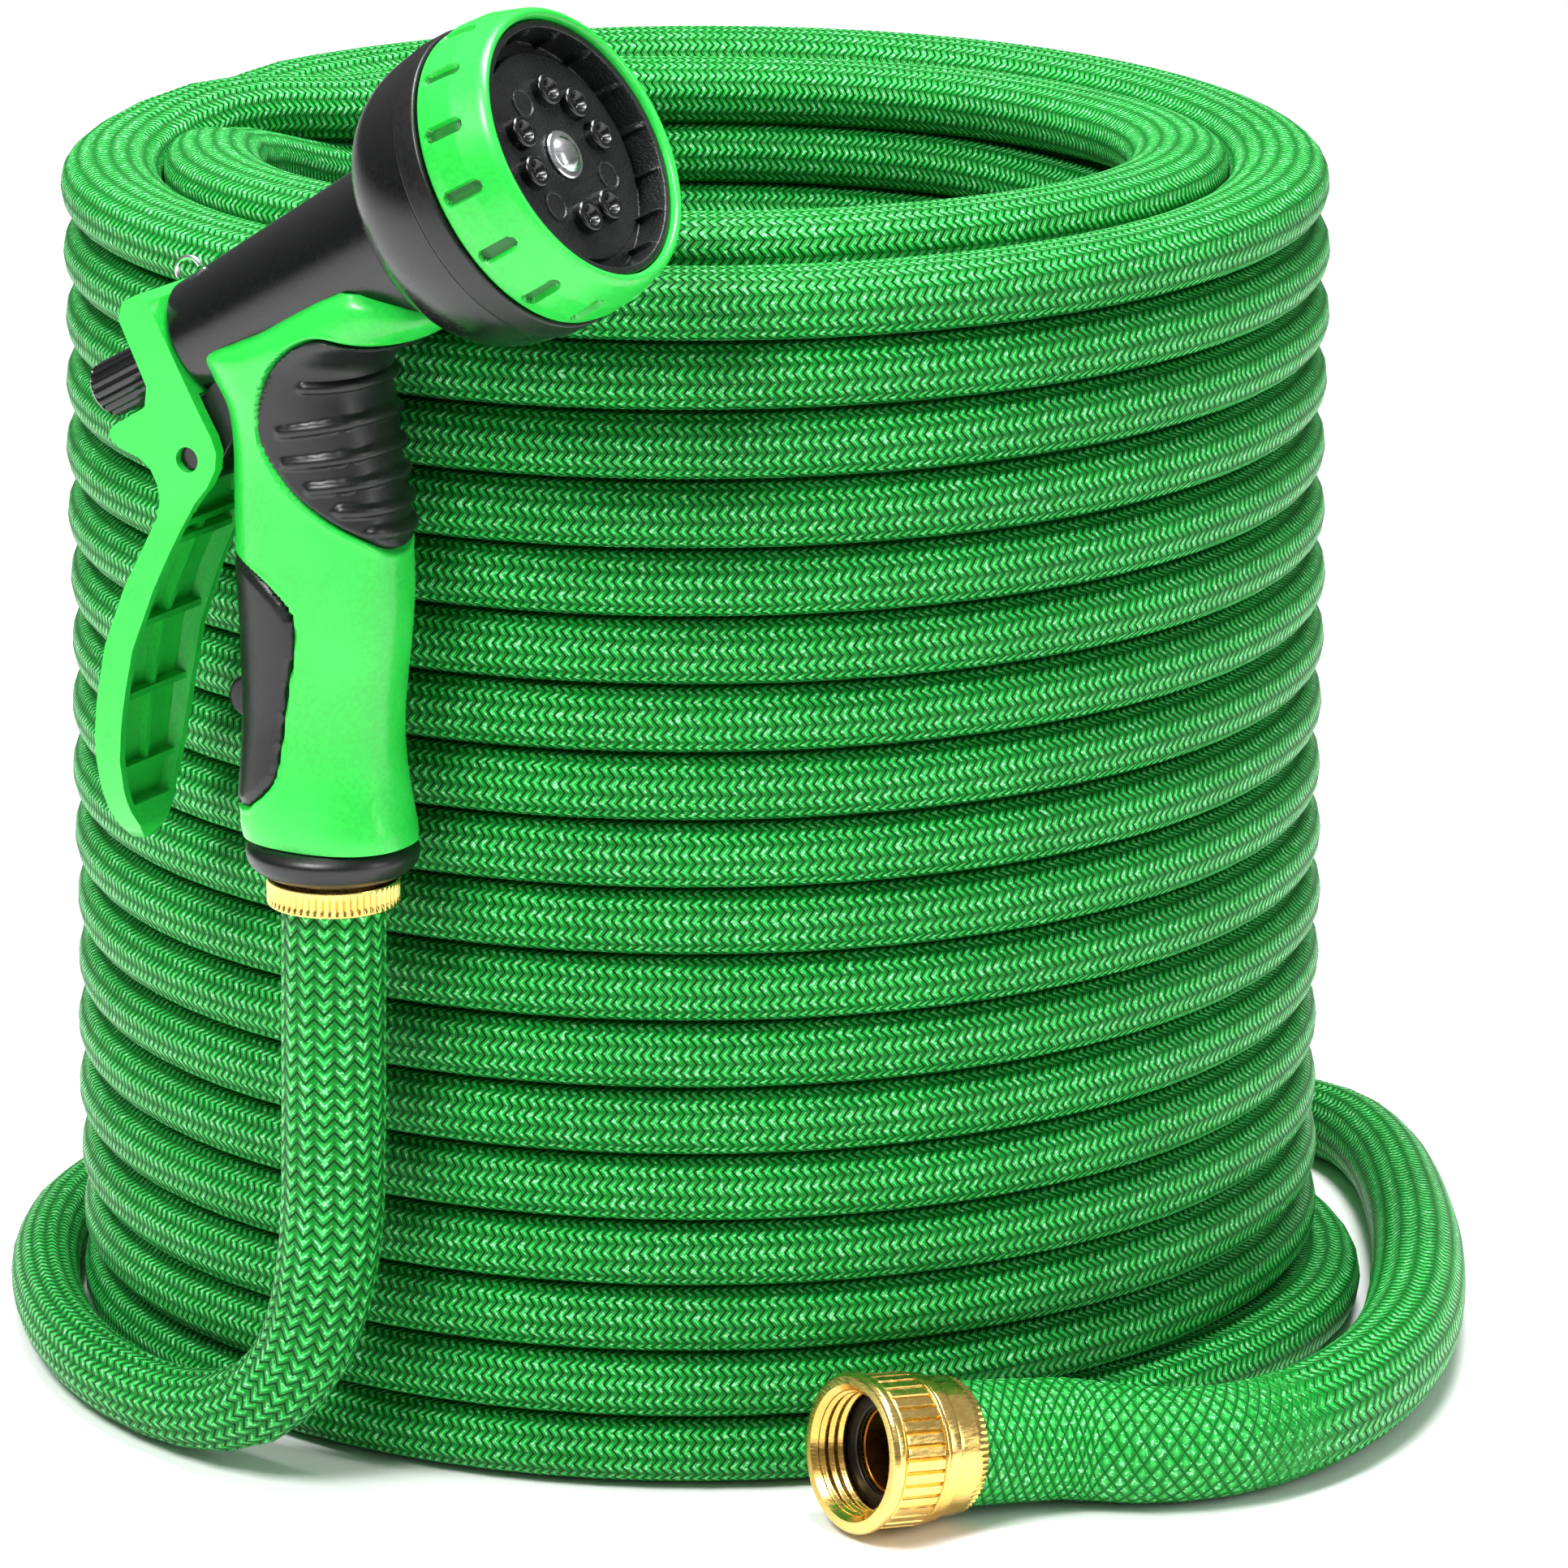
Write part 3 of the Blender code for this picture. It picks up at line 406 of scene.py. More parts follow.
def colour(red, green, blue):
    """A colour given as it looks on screen, 0 to 255, as linear values with alpha."""
    def linear(c):
        c /= 255
        return c / 12.92 if c <= 0.04045 else ((c + 0.055) / 1.055) ** 2.4
    return (linear(red), linear(green), linear(blue), 1.0)


def braid_material():
    """Knitted green cover: raised chevrons on the hose, flat crossing bands near the coupling."""
    n = Nodes("green_braid_cover")
    uv = n.add("ShaderNodeUVMap", uv_map="braid")
    split = n.add("ShaderNodeSeparateXYZ")
    n.feed(split.inputs[0], uv.outputs[0])
    row, column = split.outputs[0], split.outputs[1]
    flat = n.add("ShaderNodeAttribute", attribute_name="flat_braid").outputs["Fac"]

    # Chevrons: distance from the middle of the column bends the rows
    across = n.math("FRACT", column)
    side = n.times(n.math("ABSOLUTE", n.less(across, 0.5)), 2.0)
    wobble = n.times(n.less(n.noise(260.0), 0.5), 0.16)
    bent = n.plus(n.plus(row, n.times(side, 0.72)), wobble)
    phase = n.math("FRACT", bent)
    dome = n.math("SINE", n.times(phase, math.pi))
    dome = n.math("POWER", dome, 0.7)
    crown = n.less(1.0, n.times(n.math("POWER", side, 2.2), 0.55))
    threads = n.math("ABSOLUTE", n.math("SINE", n.times(phase, 3 * math.pi)))
    chevron = n.times(dome, crown)
    chevron = n.plus(n.times(chevron, 0.82), n.times(threads, 0.18))

    # Flat bands: two families of strips that cross at a slant, each lying over every second one
    leans = n.plus(column, row), n.less(column, row)
    slopes = [n.math("FRACT", lean) for lean in leans]
    edges = [n.times(n.times(slope, n.less(1.0, slope)), 4.0) for slope in slopes]
    band = n.math("POWER", n.math("MINIMUM", *edges), 0.35)
    cells = n.plus(*[n.math("FLOOR", lean) for lean in leans])
    over = n.math("ABSOLUTE", n.math("MODULO", cells, 2.0))
    fibres = n.blend(over, *[n.math("SINE", n.times(lean, 12 * math.pi)) for lean in leans])
    fibres = n.plus(n.times(fibres, 0.5), 0.5)
    weave = n.times(band, n.plus(0.75, n.times(n.blend(over, *slopes), 0.25)))
    weave = n.plus(n.times(weave, 0.9), n.times(fibres, 0.10))

    height = n.blend(flat, chevron, weave)
    patchy = n.noise(45.0, 3.0)
    fine = n.noise(2200.0, 2.0)
    # Painted shade and painted highlight: by the relief's height, the colour darkens into the grooves between
    # the ridges and lightens on their crests.
    painted_groove_shade = colour(0, 44, 8)
    middle = colour(0, 128, 34)
    light = colour(70, 222, 104)
    low = n.mix(n.range(height, 0.12, 0.62), painted_groove_shade, middle)
    base = n.mix(n.range(height, 0.66, 1.0), low, light)
    # Painted highlight: near-white glints where a fine noise is high on the crests.
    painted_glint = n.times(n.range(n.noise(1100.0, 1.0), 0.55, 0.68), n.range(height, 0.5, 0.9))
    base = n.mix(n.times(painted_glint, 0.75), base, colour(168, 255, 190))
    tint = n.plus(n.times(n.less(patchy, 0.5), 0.5), n.times(n.less(fine, 0.5), 0.6))
    shift = n.add("ShaderNodeHueSaturation")
    n.feed(shift.inputs["Value"], n.plus(1.0, tint))
    n.feed(shift.inputs["Color"], base)
    rough = n.range(height, 0.2, 1.0, 0.60, 0.30)
    relief = n.plus(height, n.times(fine, 0.12))
    n.shader.inputs["Specular IOR Level"].default_value = 0.18
    n.shader.inputs["Sheen Weight"].default_value = 0.01
    n.shader.inputs["Sheen Roughness"].default_value = 0.4
    return n.done(Base_Color=shift.outputs[0], Roughness=rough, Normal=n.bump(relief, 0.0007, 1.0))


def moulded(name, low, high, rough, relief, coat=0.0, grain=900.0):
    """Moulded plastic or rubber: colour that drifts a little, and a fine grain that the gloss follows."""
    n = Nodes(name)
    fine = n.noise(grain, 3.0)
    shade = n.add("ShaderNodeHueSaturation")
    n.feed(shade.inputs["Value"], n.range(fine, 0.3, 0.7, 0.92, 1.06))
    n.feed(shade.inputs["Color"], n.mix(n.range(n.noise(35.0, 3.0), 0.35, 0.65), low, high))
    n.shader.inputs["Coat Weight"].default_value = coat
    n.shader.inputs["Coat Roughness"].default_value = 0.14
    gloss = n.range(fine, 0.2, 0.8, rough - 0.05, rough + 0.07)
    return n.done(Base_Color=shade.outputs[0], Roughness=gloss, Normal=n.bump(fine, relief, 0.7))


def metal(name, low, high, rough):
    """Turned metal: patches of darker tarnish and fine machining marks."""
    n = Nodes(name)
    marks = n.noise(420.0, 3.0, (1.0, 1.0, 6.0))
    base = n.mix(n.range(n.noise(40.0, 3.0), 0.40, 0.70), high, low)
    n.shader.inputs["Metallic"].default_value = 1.0
    gloss = n.range(marks, 0.25, 0.75, rough - 0.06, rough + 0.10)
    return n.done(Base_Color=base, Roughness=gloss, Normal=n.bump(marks, 0.00003, 0.6))


def all_materials():
    dark, less_dark = colour(7, 8, 8), colour(12, 13, 13)
    return {
        "braid": braid_material(),
        "green": moulded(
            "green_moulded_plastic", colour(30, 188, 58), colour(40, 202, 70), 0.34, 0.00002, 0.2),
        # Painted shade: the same green plastic made darker, for the floors of the bezel's slots.
        "shade": moulded(
            "green_plastic_painted_shade", colour(6, 104, 24), colour(10, 118, 30), 0.45, 0.00003),
        "gloss": moulded("black_gloss_plastic", colour(5, 6, 6), colour(9, 10, 10), 0.22, 0.00001, 0.15),
        "satin": moulded("black_satin_plastic", dark, less_dark, 0.36, 0.00003),
        "face": moulded(
            "black_stippled_plastic", colour(4, 5, 5), colour(24, 27, 27), 0.34, 0.00040, grain=1500.0),
        "rubber": moulded("black_rubber", dark, less_dark, 0.38, 0.00003),
        "brass": metal("turned_brass", colour(224, 180, 92), colour(242, 208, 124), 0.20),
        "amber": metal("brass_in_the_bore", colour(150, 84, 22), colour(206, 138, 50), 0.32),
        "steel": metal("bright_steel", colour(190, 192, 194), colour(226, 228, 230), 0.20),
    }


# Turned and extruded pieces


def dress(obj, body, slot, *nodes, degrees=35):
    """Shades a piece smoothly, apart from edges sharper than an angle, and says what it moves with and what
    it stands for. Its slot is not used."""
    obj.data.shade_smooth()
    obj.data.set_sharp_from_angle(angle=math.radians(degrees))
    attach(obj, body)
    if nodes:
        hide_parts(*nodes)


def softened(profile, radius, closed=True):
    """A profile with its corners rounded, as points; each arc has five."""
    points = [Vector(p) for p in profile]
    out = []
    for i, here in enumerate(points):
        if not closed and i in (0, len(points) - 1):
            out.append(tuple(here))
            continue
        before, after = points[i - 1] - here, points[(i + 1) % len(points)] - here
        if before.length < 1e-7 or after.length < 1e-7 or before.angle(after) > math.radians(165):
            out.append(tuple(here))
            continue
        start = here + before.normalized() * min(radius, before.length * 0.45)
        end = here + after.normalized() * min(radius, after.length * 0.45)
        for t in (0.0, 0.25, 0.5, 0.75, 1.0):
            out.append(tuple(start * (1 - t) ** 2 + here * (2 * t * (1 - t)) + end * t ** 2))
    return out


def refined(profile, step, closed=True):
    """A profile with points no further apart than a step."""
    out = []
    pairs = zip(profile, profile[1:] + profile[:1]) if closed else zip(profile, profile[1:])
    for a, b in pairs:
        pieces = max(1, math.ceil(math.dist(a, b) / step))
        out.extend(
            (a[0] + (b[0] - a[0]) * i / pieces, a[1] + (b[1] - a[1]) * i / pieces) for i in range(pieces))
    if not closed:
        out.append(tuple(profile[-1]))
    return out


def lathe(name, place, profile, sides, material, shift=None, closed=True):
    """A turned piece from (radius, height) points. shift(angle, radius, height) is added to the radius; the
    angle is in radians from the frame's -X side towards its +Y side."""
    verts, faces = [], []
    count = len(profile)
    for k in range(sides):
        angle = 2 * math.pi * k / sides
        for radius, height in profile:
            there = radius + (shift(angle, radius, height) if shift and radius > 0 else 0.0)
            verts.append(place @ Vector((-there * math.cos(angle), there * math.sin(angle), height)))
    for k in range(sides):
        here, there = k * count, (k + 1) % sides * count
        for i in range(count if closed else count - 1):
            j = (i + 1) % count
            faces.append((here + i, there + i, there + j, here + j))
    obj = mesh_object(name, [tuple(v) for v in verts], faces, material)
    tidy_mesh(obj)
    return obj


def tidy_mesh(obj):
    """Joins points that coincide and turns every face outward."""
    made = bmesh.new()
    made.from_mesh(obj.data)
    bmesh.ops.remove_doubles(made, verts=made.verts, dist=1e-6)
    bmesh.ops.recalc_face_normals(made, faces=made.faces)
    made.to_mesh(obj.data)
    made.free()


def bevel_edges(obj, width, degrees):
    """Rounds every edge sharper than an angle."""
    made = bmesh.new()
    made.from_mesh(obj.data)
    bmesh.ops.remove_doubles(made, verts=made.verts, dist=1e-6)
    bmesh.ops.dissolve_limit(made, angle_limit=math.radians(1.5), verts=made.verts, edges=made.edges)
    edges = [e for e in made.edges if len(e.link_faces) == 2 and e.calc_face_angle() > math.radians(degrees)]
    bmesh.ops.bevel(made, geom=edges, offset=width, segments=3, affect="EDGES", clamp_overlap=True)
    bmesh.ops.recalc_face_normals(made, faces=made.faces)
    made.to_mesh(obj.data)
    made.free()


def slab(verts, faces, place, outline_mm, half_width):
    """Adds an outline in the nozzle's side view, in millimetres, as a slab of that half width."""
    count, base = len(outline_mm), len(verts)
    for side in (-half_width, half_width):
        verts.extend(tuple(place @ Vector((x * MM, side, z * MM))) for x, z in outline_mm)
    faces.append(tuple(base + i for i in range(count)))
    faces.append(tuple(base + count + i for i in reversed(range(count))))
    faces.extend((base + i, base + count + i, base + count + (i + 1) % count, base + (i + 1) % count)
                 for i in range(count))


def second_material(obj, place, material, inside):
    """Gives another material to the faces for whose middle inside(angle, radius, height) is true."""
    obj.data.materials.append(material)
    back = place.inverted()
    for face in obj.data.polygons:
        spot = back @ face.center
        if inside(math.atan2(spot.y, -spot.x), math.hypot(spot.x, spot.y), spot.z):
            face.material_index = 1


def ribs(angle, count, sharp):
    """A row of ribs round a ring: 0 in the gaps and 1 on the ribs."""
    return (0.5 + 0.5 * math.cos(angle * count)) ** sharp


# Spray head


def off_nearest(angle, count, first=0.0):
    """How far an angle is from the nearest of a number of evenly spaced ones, of which one is the first."""
    step = 2 * math.pi / count
    return (angle - first + step / 2) % step - step / 2


def slots_in_bezel(angle, radius, height):
    """Rounded axial slots cut into the bezel's outer side."""
    if radius < FACE_RADIUS + 0.002:
        return 0.0
    off = off_nearest(angle, BEZEL_SLOTS, math.radians(270))
    along = max(0.0, abs(height - SLOT_MIDDLE) - SLOT_HALF_LENGTH + SLOT_HALF_WIDTH)
    far = math.hypot(off * radius, along)
    return -SLOT_DEPTH * (1 - ease(far, SLOT_HALF_WIDTH - 0.0003, SLOT_HALF_WIDTH + 0.0001))


def bezel_piece(place, look):
    """The green ring round the face, notched all round, with painted shade, a darker green, in its slots."""
    front, back, web, bore = BEZEL_FRONT, -BEZEL_REAR, WEB_FRONT, HEAD_BORE_RADIUS
    outer = softened([
        (FACE_RADIUS + 0.0008, front), (BEZEL_FRONT_RADIUS - 0.0010, front),
        (BEZEL_FRONT_RADIUS, front - 0.0012), (HEAD_RADIUS - 0.0006, front - BEZEL_BEVEL),
        (HEAD_RADIUS - 0.0002, web), (HEAD_RADIUS - 0.0008, back), (bore, back), (bore, web),
        (FACE_RADIUS, web), (FACE_RADIUS, front - 0.0006)], 0.0009)

    def in_slot(angle, radius, height):
        cut = slots_in_bezel(angle, HEAD_RADIUS, height)
        return radius > FACE_RADIUS + 0.001 and cut < -0.2 * SLOT_DEPTH

    bezel = lathe(
        "bezel_notched", place, refined(outer, 0.0005), BEZEL_SLOTS * 32, look["green"], slots_in_bezel)
    # Painted shade: the faces in the slots get the darker green.
    second_material(bezel, place, look["shade"], in_slot)
    dress(bezel, "spray_head", "green_plastic", "head_bezel", degrees=50)


def face_pieces(place, look):
    """The dark ring behind the bezel, the recessed face with ribs inside its wall, and the outlets on it."""
    web, bore, label = WEB_FRONT, HEAD_BORE_RADIUS, -BEZEL_REAR - GAP
    dress(lathe("label_ring_plain", place, softened([
        (HEAD_RADIUS, label), (HEAD_RADIUS, label - LABEL_RING_LENGTH), (bore, label - LABEL_RING_LENGTH),
        (bore, label)], 0.0007), 160, look["satin"]), "spray_head", "black_plastic", "head_label_ring")

    wall = FACE_RADIUS - GAP
    inner = wall - FACE_WALL
    shank = SCREW_SHANK_RADIUS + 2 * GAP
    rim = BEZEL_FRONT - FACE_SETBACK
    under = -FACE_RECESS - FACE_PLATE

    def wall_ribs(angle, radius, height):
        if abs(radius - inner) > 0.0002 or height > rim - 0.0008:
            return 0.0
        off = off_nearest(angle, WALL_RIBS, FIRST_WALL_RIB)
        return -WALL_RIB_HEIGHT * (1 - ease(abs(off) * radius, *WALL_RIB_EDGE))

    outline = softened([
        (wall, rim), (wall, web + GAP), (bore, web + GAP), (bore, under), (shank, under), (shank, 0.0),
        (DISC_RADIUS, 0.0), (DISC_RADIUS, -FACE_RECESS), (inner, -FACE_RECESS), (inner, rim)], 0.0005)
    face = lathe("face_recessed", place, refined(outline, 0.0016), WALL_RIBS * 24, look["face"], wall_ribs)
    dress(face, "spray_head", "black_plastic", "head_face", degrees=40)

    for k in range(OUTLETS):
        angle = math.radians(FIRST_OUTLET + OUTLET_STEP * k)
        spot = place @ Matrix.Translation((-CUP_CIRCLE * math.cos(angle), CUP_CIRCLE * math.sin(angle), 0.0))
        if k in FLAT_OUTLETS:
            shape, finish = FLAT_OUTLET, look["face"]
        else:
            shape, finish = softened(CUP_OUTLET, 0.0003, False), look["gloss"]
        outlet = lathe(f"outlet_{k}", spot, shape, 40, finish, closed=False)
        dress(outlet, "spray_head", "black_plastic", degrees=45)


def screw_piece(place, look):
    """The domed screw in the middle of the face."""
    tip = -FACE_RECESS - SPINDLE_GAP - SPINDLE_HOLE_DEPTH
    profile = [
        *SCREW_DOME, (0.0044, 0.0009), (SCREW_RADIUS - 0.0003, 0.0009), (SCREW_RADIUS, 0.0006),
        (SCREW_RADIUS, GAP), (SCREW_SHANK_RADIUS, GAP), (SCREW_SHANK_RADIUS, tip), (0.0, tip)]
    screw = lathe("screw_domed", place, profile, 64, look["steel"], closed=False)
    dress(screw, "hose", "steel", "head_screw", degrees=40)


# Barrel, lever and handle


def along_barrel(back, rise):
    """The point that far behind the face and above the barrel's axis, as forward and up in millimetres."""
    c, s = math.cos(BARREL_RISE), math.sin(BARREL_RISE)
    return (HEAD_PLACE_MM[0] + (-back * c - rise * s) / MM, HEAD_PLACE_MM[1] + (-back * s + rise * c) / MM)


def barrel_piece(place, look):
    """The barrel with the dome that the head sits on, and the bores for the spindle's screw and the stem."""
    dome = -BEZEL_REAR - LABEL_RING_LENGTH - 2 * GAP
    bore = STEM_RADIUS + GAP
    skin = []
    for i in range(31):
        a = math.radians(3 * i)
        radius = mix(BARREL_NECK_RADIUS, HEAD_RADIUS - 0.0006, max(0.0, math.cos(a)) ** 0.9)
        skin.append((radius, dome - (NECK_BACK + dome) * math.sin(a)))
    rear, inner = -BARREL_REAR, SCREW_SHANK_RADIUS + GAP
    end = -FACE_RECESS - 2 * GAP - SPINDLE_GAP
    profile = [(inner, end), (SPINDLE_RADIUS, end), (SPINDLE_RADIUS, dome), *skin,
               (BARREL_REAR_RADIUS + 0.0002, rear + 0.0012), (BARREL_REAR_RADIUS - 0.0008, rear),
               (bore, rear), (bore, rear + STEM_DEPTH), (0.0, rear + STEM_DEPTH),
               (0.0, end - SPINDLE_HOLE_DEPTH), (inner, end - SPINDLE_HOLE_DEPTH)]
    dress(lathe("barrel_domed", place, profile, 120, look["gloss"]), "hose", "black_plastic", "nozzle_barrel")


def lug_piece(nozzle, look):
    """The lug under the barrel that the lever hangs from."""
    verts, faces = [], []
    turns = [math.radians(a) for a in range(160, 340, 12)]
    x, z = PIVOT_MM
    arc = [(x + LUG_RADIUS_MM * math.cos(a), z + LUG_RADIUS_MM * math.sin(a)) for a in turns]
    heel = along_barrel(BARREL_REAR - 0.0005, -0.0118)
    slab(verts, faces, nozzle, [(-17, 116), (-24, 120), heel, (-31, 113), *arc, (-19, 106)], LUG_HALF_WIDTH)
    lug = mesh_object("pivot_lug", verts, faces, look["satin"])
    tidy_mesh(lug)
    bevel_edges(lug, 0.0006, 60)
    dress(lug, "hose", "black_plastic", degrees=30)


def knob_piece(place, look):
    """The fluted flow knob behind the barrel."""
    front, back = -KNOB_FRONT, -KNOB_FRONT - KNOB_LENGTH
    stem = -KNOB_FRONT - KNOB_LENGTH / 2
    tip = STEM_RADIUS - 0.0010 + GAP

    def flutes(angle, radius, height):
        if radius < KNOB_RADIUS - 0.0006 or height < back + 0.0012 or height > front - 0.0012:
            return 0.0
        return -FLUTE_DEPTH * (1 - ribs(angle, KNOB_FLUTES, 0.6))

    outline = softened([
        (KNOB_RADIUS - 0.0008, front), (KNOB_RADIUS, front - 0.0008), (KNOB_RADIUS, back + 0.0012),
        (KNOB_RADIUS - 0.0012, back), (0.0, back), (0.0, stem - GAP), (tip, stem - GAP),
        (tip, front)], 0.0005)
    knob = lathe("knob_fluted", place, refined(outline, 0.0012), KNOB_FLUTES * 10, look["gloss"], flutes)
    dress(knob, "flow_knob", "black_plastic", "flow_knob", degrees=40)


def lever_piece(nozzle, look):
    """The lever with rounded edges, and the ribs inside its channel."""
    obj = link(bpy.data.objects.new("lever_rounded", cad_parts["lever"].data.copy()))
    obj.data.materials.clear()
    obj.data.materials.append(look["green"])
    bevel_edges(obj, 0.0008, 32)
    dress(obj, "lever", "green_plastic", "lever", degrees=28)
    verts, faces = [], []
    for z, back, front, half in CHANNEL_RIBS_MM:
        rib = [(back, z - 0.7), (front, z - 0.9), (front, z + 0.5), (back, z + 0.7)]
        slab(verts, faces, nozzle, rib, half * MM)
    spine = [(front - 0.8, z) for z, back, front, half in CHANNEL_RIBS_MM]
    spine += [(back, z) for z, back, front, half in reversed(CHANNEL_RIBS_MM)]
    slab(verts, faces, nozzle, spine, 0.0008)
    inner = mesh_object("lever_ribs", verts, faces, look["green"])
    tidy_mesh(inner)
    dress(inner, "lever", "green_plastic", degrees=30)


def outline_distance(points, outline):
    """Distance of points from an outline in the side view, less than 0 inside it."""
    smoothed = [(p.x, p.y) for p in spline([(x, z, 0, 0) for x, z in outline], OUTLINE_STEP_MM)]
    best = np.full(len(points), 1e9)
    inside = np.zeros(len(points), bool)
    for a, b in zip(smoothed, smoothed[1:] + smoothed[:1]):
        a, edge = np.array(a), np.array(b) - np.array(a)
        if not edge.any():
            continue
        t = np.clip((points - a) @ edge / (edge @ edge), 0, 1)
        best = np.minimum(best, np.linalg.norm(points - a - t[:, None] * edge, axis=1))
        crosses = (a[1] > points[:, 1]) != (a[1] + edge[1] > points[:, 1])
        rise = edge[1] if edge[1] else 1e-9
        inside ^= crosses & (points[:, 0] < a[0] + (points[:, 1] - a[1]) / rise * edge[0])
    return np.where(inside, -best, best)


def eases(values, start, end):
    """As ease, for an array of values."""
    t = np.clip((values - start) / (end - start), 0, 1)
    return t * t * (3 - 2 * t)


def bars(points, rows, reach):
    """Rounded bars on the front grip: 1 along the middle of each, 0 beyond its reach."""
    out = np.zeros(len(points))
    for start, side, front in rows:
        a = np.array((start, side))
        edge = np.array((BAR_END_MM, front)) - a
        t = np.clip((points - a) @ edge / (edge @ edge), 0, 1)
        far = np.linalg.norm(points - a - t[:, None] * edge, axis=1)
        out = np.maximum(out, np.sqrt(np.clip(1 - (far / reach) ** 2, 0, 1)))
    return out


def handle_pieces(nozzle, look):
    """The handle's shell, sunk where the rubber parts lie, and the two rubber parts with their relief."""
    sides, power = HANDLE_SIDES, 2 / SECTION_SQUARENESS
    angles = np.arange(sides) * 2 * math.pi / sides
    c = np.sign(np.cos(angles)) * np.abs(np.cos(angles)) ** power
    s = np.sign(np.sin(angles)) * np.abs(np.sin(angles)) ** power
    sections = np.array([tuple(r) for r in spline(HANDLE_SECTIONS_MM, HANDLE_STEP_MM)])
    height, back, front, half = (sections[:, k][:, None] for k in range(4))
    middle, length = (back + front) / 2, (front - back) / 2

    def skin(grow):
        x = middle + (length + grow) * c
        y = (half + grow) * s
        return np.stack((x, y, np.broadcast_to(height, x.shape)), axis=2)

    flat = skin(0.0)
    side_view = flat[:, :, (0, 2)].reshape(-1, 2)
    shape = flat.shape[:2]
    near = {name: outline_distance(side_view, outline).reshape(shape) for name, outline in (
        ("front", FRONT_GRIP_OUTLINE_MM), ("rear", REAR_INSERT_OUTLINE_MM))}
    closest = np.minimum(near["front"], near["rear"])
    rim = np.exp(-((closest - RIM_PLACE_MM) / RIM_WIDTH_MM) ** 2) * RIM_HEIGHT_MM
    shell = skin(rim - BED_DEPTH_MM * (1 - eases(closest, -0.6, 0.05)))
    faces = []
    for i in range(shape[0] - 1):
        for k in range(sides):
            j = (k + 1) % sides
            faces.append((i * sides + k, i * sides + j, (i + 1) * sides + j, (i + 1) * sides + k))
    caps = [tuple(range(sides)), tuple((shape[0] - 1) * sides + k for k in range(sides))]

    def placed(points):
        return [tuple(nozzle @ Vector(p * MM)) for p in points.reshape(-1, 3)]

    obj = mesh_object("handle_shell", placed(shell), faces + caps, look["green"])
    tidy_mesh(obj)
    dress(obj, "hose", "green_plastic", "nozzle_handle", degrees=60)

    raised = {
        "front": BAR_HEIGHT_MM * bars(side_view, GRIP_BARS_MM, BAR_REACH_MM).reshape(shape),
        "rear": -INSERT_PANEL_MM * eases(near["rear"], -2.6, -1.6) * (near["rear"] < -1.0),
    }
    for key, node in (("front", "front_grip"), ("rear", "rear_insert")):
        d = near[key]
        lift = RUBBER_EDGE_MM + RUBBER_RISE_MM * (1 - eases(d, -1.1, -0.35)) + raised[key] * (d < -0.6)
        inside = (d < 0.25).reshape(-1)
        kept = [f for f in faces if all(inside[v] for v in f)]
        used = sorted({v for f in kept for v in f})
        renumber = {v: i for i, v in enumerate(used)}
        points = placed(skin(lift))
        part = mesh_object(key + "_rubber", [points[v] for v in used],
                           [tuple(renumber[v] for v in f) for f in kept], look["rubber"])
        tidy_mesh(part)
        thick = part.modifiers.new("wall", "SOLIDIFY")
        thick.thickness = RUBBER_WALL
        thick.offset = -1.0
        dress(part, "hose", "black_rubber", node, degrees=60)

    spot = nozzle @ Matrix.Translation(NUB_PLACE) @ Matrix.Rotation(math.radians(90), 4, "X")
    r = NUB_RADIUS
    outline = softened([(0.0, -r), (r, -r), (r, r), (0.0, r)], 0.0012, False)
    nub = lathe("insert_nub", spot, outline, 48, look["rubber"], closed=False)
    dress(nub, "hose", "black_rubber", degrees=40)


def base_pieces(nozzle, look):
    """The brass end of the hose and the black ring at the handle's foot."""
    foot = NECK_TOP + GAP
    top = foot + BASE_RING_HEIGHT

    def knurl(angle, radius, height):
        if radius < COLLAR_RADIUS - 0.0004 or abs(height) > COLLAR_HALF_HEIGHT - 0.0005:
            return 0.0
        return -0.0006 * (1 - ribs(angle, COLLAR_RIBS, 0.7))

    outline = softened([
        (0.0, top - GAP), (SPIGOT_RADIUS, top - GAP), (SPIGOT_RADIUS, NECK_TOP), (NECK_RADIUS, NECK_TOP),
        (NECK_RADIUS, COLLAR_HALF_HEIGHT), (COLLAR_RADIUS, COLLAR_HALF_HEIGHT),
        (COLLAR_RADIUS, -COLLAR_HALF_HEIGHT), (0.0, -COLLAR_HALF_HEIGHT)], 0.0005, False)
    end = lathe("hose_end_knurled", nozzle, refined(outline, 0.0010, False), COLLAR_RIBS * 8, look["brass"],
                knurl, False)
    dress(end, "hose", "brass", "hose_male_fitting", degrees=40)
    slope = 0.0022
    outline = softened([
        (BASE_RING_RADIUS - slope, top), (BASE_RING_RADIUS, top - slope),
        (BASE_RING_RADIUS - slope / 2, foot + slope), (BASE_RING_RADIUS - 2 * slope, foot),
        (SPIGOT_RADIUS + GAP, foot), (SPIGOT_RADIUS + GAP, top)], 0.0014)
    ring = lathe("base_ring_rounded", nozzle, outline, 120, look["satin"])
    dress(ring, "hose", "black_plastic", "handle_base_ring")


# Tap coupling


